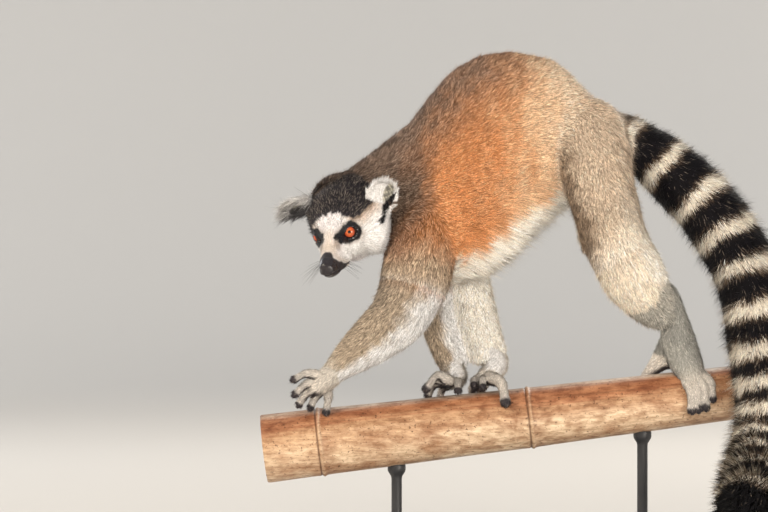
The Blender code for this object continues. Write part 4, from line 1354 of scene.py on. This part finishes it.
def ear_rim(at):
    """1 at an ear's rim, 0 inside it."""
    rim = np.zeros(len(at.p))
    for side, name in EARS:
        across, along, _ = ear_place(at.head, side)
        round_it = np.sqrt(across**2 + ((along - 0.40) / 0.60) ** 2)
        rim = np.where(on_run(at, name), rise(0.75, 1.0, round_it), rim)
    return rim


# ================================================================ materials
def new_material(name, roughness, specular=0.5):
    """A material, its node tree and its shader."""
    made = bpy.data.materials.new(name)
    made.use_nodes = True
    shader = made.node_tree.nodes["Principled BSDF"]
    shader.inputs["Roughness"].default_value = roughness
    shader.inputs["Specular IOR Level"].default_value = specular
    return made, made.node_tree, shader


def new_node(tree, kind, values, **sources):
    """A node with its fixed inputs, and with the outputs that feed its other inputs."""
    made = tree.nodes.new("ShaderNode" + kind)
    for key, value in values.items():
        made.inputs[key].default_value = value
    for key, source in sources.items():
        tree.links.new(source, made.inputs[key])
    return made


def noise(tree, scale, detail=3.0, roughness=0.55, stretch=(1, 1, 1)):
    place = tree.nodes.new("ShaderNodeTexCoord").outputs["Object"]
    if stretch != (1, 1, 1):
        place = new_node(tree, "Mapping", {"Scale": stretch}, Vector=place).outputs["Vector"]
    values = {"Scale": scale, "Detail": detail, "Roughness": roughness}
    return new_node(tree, "TexNoise", values, Vector=place).outputs["Fac"]


def grey(value):
    return (value, value, value)


def ramp(tree, source, *stops):
    """A colour that changes with the source, through stops of a place and a colour."""
    made = new_node(tree, "ValToRGB", {}, Fac=source)
    for element, (at, colour) in zip(made.color_ramp.elements, stops):
        element.position = at
        element.color = (*colour, 1)
    return made.outputs["Color"]


def multiplied(tree, a, b, share=1.0):
    made = tree.nodes.new("ShaderNodeMix")
    made.data_type, made.blend_type = "RGBA", "MULTIPLY"
    made.inputs["Factor"].default_value = share
    tree.links.new(a, made.inputs["A"])
    tree.links.new(b, made.inputs["B"])
    return made.outputs["Result"]


def bumped(tree, shader, height, strength, distance):
    made = new_node(tree, "Bump", {"Strength": strength, "Distance": distance}, Height=height)
    tree.links.new(made.outputs["Normal"], shader.inputs["Normal"])


def painted(tree, name="Coat"):
    made = tree.nodes.new("ShaderNodeAttribute")
    made.attribute_name = name
    return made.outputs["Color"]


def fur_material():
    made, tree, shader = new_material("lemur_fur", 0.6, 0.14)
    fine = ramp(tree, noise(tree, 800, 2), (0.34, grey(0.66)), (0.66, grey(1.22)))
    tree.links.new(multiplied(tree, painted(tree), fine, 0.9), shader.inputs["Base Color"])
    shader.inputs["Sheen Weight"].default_value = 0.04
    shader.inputs["Sheen Roughness"].default_value = 0.5
    return made


def skin_material():
    """The painted markings, with wet places glossier."""
    made, tree, shader = new_material("lemur_skin", 0.6, 0.42)
    shade = ramp(tree, noise(tree, 160, 3), (0.30, grey(0.80)), (0.72, grey(1.08)))
    tree.links.new(multiplied(tree, painted(tree), shade), shader.inputs["Base Color"])
    gloss = ramp(tree, painted(tree, "Wet"), (0.0, grey(0.62)), (1.0, grey(0.19)))
    tree.links.new(gloss, shader.inputs["Roughness"])
    bumped(tree, shader, noise(tree, 700, 4), 0.45, 0.0006)
    return made


# ================================================================ making the skin
def labels_of(p, parts):
    """For each point of the skin, which of the parts it came from."""
    tree = KDTree(sum(len(points) for _, points in parts))
    owner = []
    for name, points in parts:
        for point in points:
            tree.insert(point, len(owner))
            owner.append(LABELS.index(name))
    tree.balance()
    return np.array([owner[tree.find(point)[1]] for point in p])


def wetness(at):
    """1 on the nose and the rims of the lids, 0 where the skin is dry."""
    x, _, z = at.head.T
    wet = rise(66, 70, x - 0.1 * (z + 12))
    for side in (1, -1):
        eye = eye_place(at.head, side)
        wet = np.maximum(wet, eye.near * rise(1.35, 1.1, eye.q))
    return at.weights["head"] * wet


def make_skin(finish):
    """The one skin, and what the coat needs to grow on it."""
    mesh = body_skin()
    parts = [("body", places(mesh))]
    for name, shape in EXTREMITIES.items():
        form = extremity_skin(shape)
        parts.append((name, places(form)))
        mesh = united(mesh, form)
    head, head_parts = head_skin()
    mesh = united(mesh, head)
    mesh.update()
    p, n = places(mesh), normals(mesh)
    at = locate(p, labels_of(p, parts + head_parts))
    at.n = n
    paint(mesh, coat_colour(at) * (0.74 + 0.26 * bare(at))[:, None])  # darker under the hair
    paint(mesh, np.tile(wetness(at)[:, None], (1, 3)), "Wet")
    piece("skin", mesh, finish, replaces=FLESH)
    return SimpleNamespace(faces=triangles(mesh), p=p, n=n, at=at)


# ================================================================ eyes, nails, whiskers
GAZE = unit(array(0.0, -1.0, -0.02))  # in the world: past the camera's left
GAZE_RIGHT = array(0.46, 0.88, -0.02)  # in the head's own axes
IRIS = 5.7  # radii on the eyeball
PUPIL = 1.45
CORNEA = IRIS + 0.9
CORNEA_RISE = 0.75
IRIS_INNER = array(0.48, 0.105, 0.028)
IRIS_OUTER = array(0.34, 0.040, 0.012)
EYE_RIM = array(0.02, 0.008, 0.006)
PUPIL_BLACK = array(0.012, 0.002, 0.001)


def eye_shade(gap, around):
    """The colours round the eyeball at this distance from the middle of the pupil."""
    fibres = 0.10 * np.sin(31 * around + 2 * np.sin(5 * around)) + 0.06 * np.sin(67 * around + 1.3)
    t = gap / IRIS
    same = np.ones(len(around))
    iris = mix(IRIS_INNER, IRIS_OUTER, rise(0.35, 1, t) * same)
    return layered(
        iris * (1 + fibres * rise(0.15, 0.5, t))[:, None],
        (EYE_RIM, rise(IRIS - 0.7, IRIS + 0.1, gap) * same),
        (PUPIL_BLACK, rise(PUPIL + 0.25, PUPIL - 0.1, gap) * same))


def make_eye(side, name, finish):
    """An eyeball with a raised cornea, its rings centred on where it looks."""
    way = GAZE if side == 1 else unit(TURN @ mirrored(GAZE_RIGHT, side))
    across = unit(np.cross(way, array(0, 0, 1)))
    up = np.cross(across, way)
    around = circle(64)
    spokes = np.cos(around)[:, None] * across + np.sin(around)[:, None] * up
    rings, shades = [], []
    for polar in np.r_[np.linspace(0.01, 0.85, 44), np.linspace(0.9, math.pi - 0.02, 26)]:
        gap = EYE_RADIUS * polar
        radius = EYE_RADIUS - 0.15 + CORNEA_RISE * math.sqrt(max(0.0, 1 - (gap / CORNEA) ** 2))
        rings.append(from_head(EYE_PLACE[side]) + radius * (math.cos(polar) * way + math.sin(polar) * spokes))
        shades.append(eye_shade(gap, around))
    mesh = loft(rings)
    paint(mesh, np.vstack(shades + [shades[0][:1], shades[-1][:1]]).clip(0.002, 1))
    piece(name.replace("eye", "eyeball"), mesh, finish, replaces=[name])


def eye_material():
    made, tree, shader = new_material("eye_wet", 0.2, 0.25)
    tree.links.new(painted(tree), shader.inputs["Base Color"])
    shader.inputs["Coat Weight"].default_value = 0.55
    shader.inputs["Coat Roughness"].default_value = 0.02
    bumped(tree, shader, noise(tree, 1500, 2), 0.03, 0.0001)
    return made


def nail(tip, before, radius):
    """A small curved nail over the end of a digit."""
    way = unit(tip - before)
    up = unit(array(0, 0, 1) - way * way[2] + array(0, 0, 1e-3))
    if abs(way[2]) > 0.85:  # the digit hangs down: its back faces out, away from the bamboo
        up = unit(array(0, -1, 0) + way * way[1])
    side = np.cross(way, up)
    around = circle(14)[:, None]
    rings = []
    for t in np.linspace(0, 1, 9):
        middle = tip + way * radius * (-0.35 + 1.55 * t) + up * radius * (0.72 - 0.75 * t * t)
        half = radius * 0.62 * math.sqrt(max(0.02, 1 - t**3))
        thick = radius * 0.20 * (1 - 0.55 * t)
        height = thick * np.sin(around) - 0.5 * half * np.cos(around) ** 2
        rings.append(middle + side * half * np.cos(around) + up * height)
    return loft(rings)


def make_nails(finish):
    forms = [nail(array(*tip), array(*joint), radius * 0.86)
             for shape in EXTREMITIES.values() for _, joint, tip, radius in shape.digits]
    piece("nails", joined(forms), finish)


def whisker(start, way, length):
    """A thin hair that tapers and sags."""
    rows = []
    for t in np.linspace(0, 1, 7):
        radius = 0.17 * (1 - 0.85 * t)
        rows.append((*(start + (way * t + array(0, 0, -0.12) * t * t) * length), radius, radius))
    return limb(array(*rows), steps=1, sides=5)


def make_whiskers(finish):
    """Four columns of three on the lips, and three on each brow. A spot: place, way and length."""
    spots = [((62 - 3.2 * i, 9.0 + 0.9 * i, -11.5 - 1.6 * row),
              (0.10 + 0.05 * i, 1.0, -0.25 - 0.25 * row), 30 - 3 * i) for i in range(4) for row in range(3)]
    spots += [((30 + 2 * i, 12.5, 17.5), (0.35, 0.35 + 0.2 * i, 0.9), 22) for i in range(3)]
    draw = np.random.default_rng(5)
    forms = []
    for spot, way, length in spots:
        for side in (1, -1):
            out = TURN @ unit(mirrored(way, side) + 0.10 * draw.normal(size=3))
            forms.append(whisker(from_head(mirrored(spot, side)), out, length * draw.uniform(0.8, 1.1)))
    piece("whiskers", joined(forms), finish)


def dark_material(name, roughness):
    made, tree, shader = new_material(name, roughness, 0.5)
    shade = ramp(tree, noise(tree, 420, 3), (0.30, (0.010, 0.009, 0.010)), (0.75, (0.045, 0.038, 0.036)))
    tree.links.new(shade, shader.inputs["Base Color"])
    bumped(tree, shader, noise(tree, 260, 3), 0.25, 0.0004)
    return made


# ================================================================ the bamboo
PERCH_LEFT = array(-279, 0, 133)  # the ends of its axis, as in the CAD
PERCH_RIGHT = array(231, 0, 194)
PERCH_RADII = (36.0, 28.0)  # at its left and its right end
PERCH_WALL = 6.5
PERCH_RECESS = 60.0  # how far its ends are hollow
PERCH_NODES = (0.115, 0.545)  # the share of its length at which each node lies
PERCH_AXIS = PERCH_RIGHT - PERCH_LEFT
PERCH_LENGTH = float(np.linalg.norm(PERCH_AXIS))
BAMBOO_TAN = array(0.50, 0.33, 0.20)
BAMBOO_PALE = array(0.70, 0.56, 0.41)
BAMBOO_RED = array(0.34, 0.135, 0.062)
BAMBOO_DARK = array(0.10, 0.055, 0.032)
BAMBOO_WEAR_AND_SHEEN = array(0.56, 0.49, 0.42)
BAMBOO_SAWN = array(0.60, 0.44, 0.27)


def perch_radius(t):
    left, right = PERCH_RADII
    return left + (right - left) * t


def culm_radius(t):
    """The radius with a ridge and a groove at each node, and eased rims."""
    radius = perch_radius(t)
    for at in PERCH_NODES:
        gap = (t - at) * PERCH_LENGTH
        radius += 1.15 * bump(gap, 1.3, 1.6) - 0.9 * bump(gap, -1.6, 0.7) + 0.45 * bump(gap, 0, 6)
    return radius - 0.7 * (math.exp(-t * PERCH_LENGTH / 0.8) + math.exp((t - 1) * PERCH_LENGTH / 0.8))


def perch_stops():
    """Where along the bamboo its rings lie, closer at the ends and the nodes."""
    stops = [0.0, 0.0016, 0.004, *np.linspace(0.012, 0.988, 150), 0.996, 0.9984, 1.0]
    for at in PERCH_NODES:
        stops += list(at + np.linspace(-0.014, 0.014, 29))
    return np.unique(np.round(stops, 5))


def hollow_end(radius):
    """The rings of a hollow end, from its floor out to the sawn rim: how far along, and the radius."""
    deep = PERCH_RECESS / PERCH_LENGTH
    return [(deep, 1.0), (deep, radius * 0.6), (deep, radius - 0.8), (deep * 0.9, radius),
            (deep * 0.3, radius), (0.001, radius), (0.0, radius + 0.6)]


def make_perch(finish):
    """A culm with a groove and ridge at each node, its ends sawn and hollow."""
    around = circle(128)
    side = array(0, 1, 0)
    up = np.cross(PERCH_AXIS / PERCH_LENGTH, side)
    spokes = np.cos(around)[:, None] * up + np.sin(around)[:, None] * side

    def ring(t, radius):
        return PERCH_LEFT + PERCH_AXIS * t + spokes * np.reshape(radius, (-1, 1))

    start = [ring(t, radius) for t, radius in hollow_end(PERCH_RADII[0] - PERCH_WALL)]
    end = [ring(1 - t, radius) for t, radius in reversed(hollow_end(PERCH_RADII[1] - PERCH_WALL + 0.8))]
    stops = perch_stops()
    outside = []
    for t in stops:
        oval = 1 + 0.008 * np.cos(2 * around + 0.6) + 0.004 * np.sin(3 * around + 9 * t)
        dent = 0.25 * np.sin(around * 5 + 14 * t) * math.sin(9 * t)
        outside.append(ring(t, culm_radius(t) * oval + dent - 0.35))
    mesh = loft(start + outside + end)
    shades = bamboo_shades(np.r_[np.full(len(start), -1.0), stops, np.full(len(end), 2.0)], around)
    paint(mesh, np.vstack([shades.reshape(-1, 3), shades[0, :1], shades[-1, :1]]).clip(0.01, 0.9), "Culm")
    piece("bamboo", mesh, finish, replaces=["perch_bamboo"])
    mesh.set_sharp_from_angle(angle=math.radians(38))


def culm_shade(t, top, patch, stripe):
    """The colours of one ring of the culm: pale below, red above, worn and painted with a sheen along the
    top, dark in stripes.
    """
    same = np.ones(len(top))
    shade = layered(
        BAMBOO_TAN * same[:, None],
        (BAMBOO_PALE, rise(0.30, -0.35, top + 0.20 * patch + 0.15 * stripe) * 0.9),
        (BAMBOO_RED, rise(0.20, 0.75, top + 0.30 * stripe + 0.25 * patch) * 0.8),
        # pale along the top: partly wear, partly a painted sheen
        (BAMBOO_WEAR_AND_SHEEN, rise(0.86, 0.95, top + 0.04 * stripe) * 0.85),
        (BAMBOO_DARK, rise(0.55, 1.0, stripe + 0.35 * patch - 0.25 * (top < 0)) * 0.35))
    for at in PERCH_NODES:
        gap = (t - at) * PERCH_LENGTH
        shade = layered(
            shade,
            (BAMBOO_DARK, 0.75 * bump(gap, -1.7, 1.0) * same),
            (BAMBOO_RED * 0.8, 0.35 * bump(gap, 6, 7) * (0.6 + 0.4 * stripe)),
            (BAMBOO_PALE, 0.5 * bump(gap, 1.5, 1.2) * same))
    return shade


def bamboo_shades(stops, around):
    """A colour for every point of every ring. A stop below 0 or above 1 is a ring of a hollow end."""
    top = np.cos(around)
    stripe = sum(np.sin(k * around + s) for k, s in ((7, 0.4), (13, 2.1), (29, 4.0), (53, 1.0))) / 4
    drift = np.cumsum(np.random.default_rng(3).normal(size=(len(stops), 4)), axis=0) * 0.05
    shades = []
    for t, (first, second, _, _) in zip(stops, drift):
        if 0 <= t <= 1:
            patch = (np.sin(3 * around + 7 * t + first) + np.sin(5 * around - 11 * t + second)) / 2
            shades.append(culm_shade(t, top, patch, stripe))
        else:
            shades.append(BAMBOO_SAWN * (0.9 + 0.1 * stripe[:, None]))
    return np.array(shades)


def bamboo_material():
    """The painted culm with grain, fibres, mottling, dark specks and smears laid over it."""
    made, tree, shader = new_material("bamboo_culm", 0.42, 0.45)
    grain = noise(tree, 60, 6, 0.6, stretch=(0.35, 6, 6))
    fibres = noise(tree, 240, 4, 0.6, stretch=(0.25, 5, 5))
    speck = noise(tree, 330, 3, 0.6)
    mottle = noise(tree, 120, 6, 0.7, stretch=(0.7, 1.6, 1.6))
    smear = noise(tree, 22, 5, 0.65, stretch=(1.0, 2.2, 2.2))
    colour = painted(tree, "Culm")
    for source, low, high, share in (
        (grain, (0.30, (0.80, 0.73, 0.66)), (0.62, (1.08, 1.07, 1.04)), 1.0),
        (fibres, (0.34, (0.70, 0.62, 0.56)), (0.56, grey(1.05)), 0.5),
        (mottle, (0.38, (0.60, 0.48, 0.40)), (0.56, grey(1.08)), 0.8),
        (speck, (0.31, (0.22, 0.15, 0.11)), (0.40, grey(1.0)), 0.85),
        (smear, (0.36, (0.56, 0.40, 0.31)), (0.60, grey(1.05)), 0.9),
    ):
        colour = multiplied(tree, colour, ramp(tree, source, low, high), share)
    tree.links.new(colour, shader.inputs["Base Color"])
    gloss = ramp(tree, smear, (0.3, grey(0.62)), (0.7, grey(0.36)))
    tree.links.new(gloss, shader.inputs["Roughness"])
    bumped(tree, shader, fibres, 0.35, 0.0007)
    return made


# ================================================================ the stand
BASE_CORNER = 30.0
BASE_EASE = 2.4
INSIDE_RIM = 40  # how far in from the rim the plate's faces close


def stand_material():
    made, tree, shader = new_material("stand_paint", 0.45, 0.5)
    shade = ramp(tree, noise(tree, 35, 3), (0.3, (0.020, 0.020, 0.022)), (0.7, (0.032, 0.032, 0.034)))
    gloss = ramp(tree, noise(tree, 50, 4), (0.3, grey(0.38)), (0.7, grey(0.5)))
    tree.links.new(shade, shader.inputs["Base Color"])
    tree.links.new(gloss, shader.inputs["Roughness"])
    bumped(tree, shader, noise(tree, 1600, 2), 0.12, 0.0002)
    return made


def make_base(finish):
    """A flat plate with rounded corners and an eased rim."""
    low, high = node_box("stand_base")
    half, thick = (high - low)[:2] / 2, high[2]
    corners = []
    for start in (0, 90, 180, 270):
        turn = np.radians(np.linspace(start, start + 90, 17))
        arc = np.stack([np.cos(turn), np.sin(turn)], 1)
        corners.append(np.sign(arc[8]) * (half - BASE_CORNER) + BASE_CORNER * arc)
    outline = np.vstack(corners)
    profile = [(INSIDE_RIM, 0.0), (2.5, 0.0), (0.5, 0.4), (0.0, 1.2), (0.0, thick - 2.6)]
    profile += [(BASE_EASE * (1 - math.cos(a)), thick - BASE_EASE * (1 - math.sin(a)))
                for a in np.radians((15, 30, 45, 60, 75, 90))]
    profile += [(INSIDE_RIM, thick)]
    rings = [np.column_stack([outline - unit(outline) * shrink, np.full(len(outline), z)])
             for shrink, z in profile]
    piece("base_plate", loft(rings), finish, replaces=["stand_base"])


def make_rod(name, finish):
    """A turned rod with a foot, and a saddle under the bamboo."""
    low, high = node_box(name)
    x = (low[0] + high[0]) / 2
    t = (x - PERCH_LEFT[0]) / PERCH_AXIS[0]
    base, under = low[2], PERCH_LEFT[2] + PERCH_AXIS[2] * t - perch_radius(t)
    foot = ((0.5, 0), (12.4, 0), (13, 0.8), (13, 4.6), (12, 6.2), (9.5, 7.0), (7.2, 7.6), (6.0, 9.2),
            (5.5, 12))
    saddle = ((5.5, -14), (5.9, -11.5), (7.4, -9.0), (9.0, -6.4), (9.5, -4.6), (9.5, -0.5), (9.0, 1.2),
              (0.5, 1.2))
    mesh = tube(x, [(r, base + z) for r, z in foot] + [(r, under + z) for r, z in saddle], 48)
    piece(name.replace("stand_rod", "rod"), mesh, finish, replaces=[name])
    mesh.set_sharp_from_angle(angle=math.radians(50))


# ================================================================ studio
# Lamps and camera are placed in metres.
MIDDLE = (-0.03, 0, 0.33)  # where the lamps look
LAMPS = (  # name, place, size, watts and colour
    ("key", (-2.75, -1.5, 1.85), 0.5, 62, (1.0, 0.89, 0.73)),
    ("front", (-0.2, -3.2, 0.75), 1.3, 66, (1.0, 0.93, 0.84)),
    ("fill", (1.6, -2.6, 0.10), 1.2, 68, (1.0, 0.93, 0.82)),
    ("rim", (1.1, 2.3, 2.2), 1.2, 60, (1.0, 0.93, 0.84)),
    ("back", (-2.2, 1.8, 1.2), 1.6, 22, (0.95, 0.97, 1.0)),
)
WALL_LAMPS = 6
CAMERA_PLACE = (-0.1533, -3.0, 0.3356)
PICTURE_WIDTH = 0.8064  # what the camera sees across, at the animal
SENSOR = 36.0  # in mm


def make_floor():
    """A pale floor that rises far away on every side."""
    sides, flat, bend = 96, 4500, 3500
    around = circle(sides)
    profile = [(1, 0), (1500, 0), (flat, 0)]
    profile += [(flat + bend * math.sin(a), bend * (1 - math.cos(a)))
                for a in np.radians(np.arange(8, 89, 8))]
    profile += [(8050, 5200)]
    points = np.vstack([np.column_stack([r * np.cos(around), r * np.sin(around), np.full(sides, z)])
                        for r, z in profile])
    faces = [tuple(range(sides))]
    for row in range(0, (len(profile) - 1) * sides, sides):
        for i in range(sides):
            j = (i + 1) % sides
            faces.append((row + i, row + j, row + sides + j, row + sides + i))
    mesh = mesh_of(points, faces)
    made, _, shader = new_material("studio_floor", 0.85, 0.2)
    shader.inputs["Base Color"].default_value = (0.62, 0.60, 0.57, 1)
    mesh.materials.append(made)
    mesh.shade_smooth()
    placed("studio_floor", mesh)


def make_lamp(name, place, size, power, colour, target=MIDDLE):
    data = bpy.data.lights.new(name, "AREA")
    data.shape = "DISK"
    data.size = size
    data.energy = power
    data.color = colour
    lamp = placed(name, data)
    lamp.location = place
    lamp.rotation_euler = (Vector(target) - Vector(place)).to_track_quat("-Z", "Y").to_euler()
    lamp.visible_glossy = name != "front"  # its glint would sit in the pupil


def make_lights():
    """Soft lamps, lamps on the wall all round, and a pale world."""
    for lamp in LAMPS:
        make_lamp(*lamp)
    for i in range(WALL_LAMPS):
        turn = math.radians(30 + 360 / WALL_LAMPS * i)
        x, y = math.sin(turn), math.cos(turn)
        make_lamp(f"wall_{i}", (3.6 * x, 3.6 * y, 3.2), 1.5, 75, (1, 1, 1), target=(9 * x, 9 * y, 1.0))
    world = bpy.data.worlds.new("studio")
    bpy.context.scene.world = world
    world.use_nodes = True
    background = world.node_tree.nodes["Background"]
    background.inputs["Color"].default_value = (0.92, 0.95, 1.0, 1)
    background.inputs["Strength"].default_value = 0.40


def make_camera():
    """The photo's framing, level along the frame's y."""
    data = bpy.data.cameras.new("camera")
    data.sensor_width = SENSOR
    data.lens = SENSOR * -CAMERA_PLACE[1] / PICTURE_WIDTH
    data.clip_start = 0.05
    data.clip_end = 60
    camera = placed("camera", data)
    camera.location = CAMERA_PLACE
    camera.rotation_euler = (math.pi / 2, 0, 0)
    bpy.context.scene.camera = camera
    bpy.context.scene.view_settings.view_transform = "Standard"


# ================================================================ all of it
make_floor()
make_lights()
make_camera()
fur = fur_material()
lemur_skin = make_skin(skin_material())
for coat_name in COAT_PIECES:
    coat_piece(coat_name, lemur_skin, fur)
eye_finish = eye_material()
make_eye(1, "eye_left", eye_finish)
make_eye(-1, "eye_right", eye_finish)
make_nails(dark_material("nail_horn", 0.35))
make_whiskers(dark_material("whisker", 0.5))
make_perch(bamboo_material())
stand_finish = stand_material()
make_base(stand_finish)
for rod_name in ("stand_rod_front", "stand_rod_rear"):
    make_rod(rod_name, stand_finish)
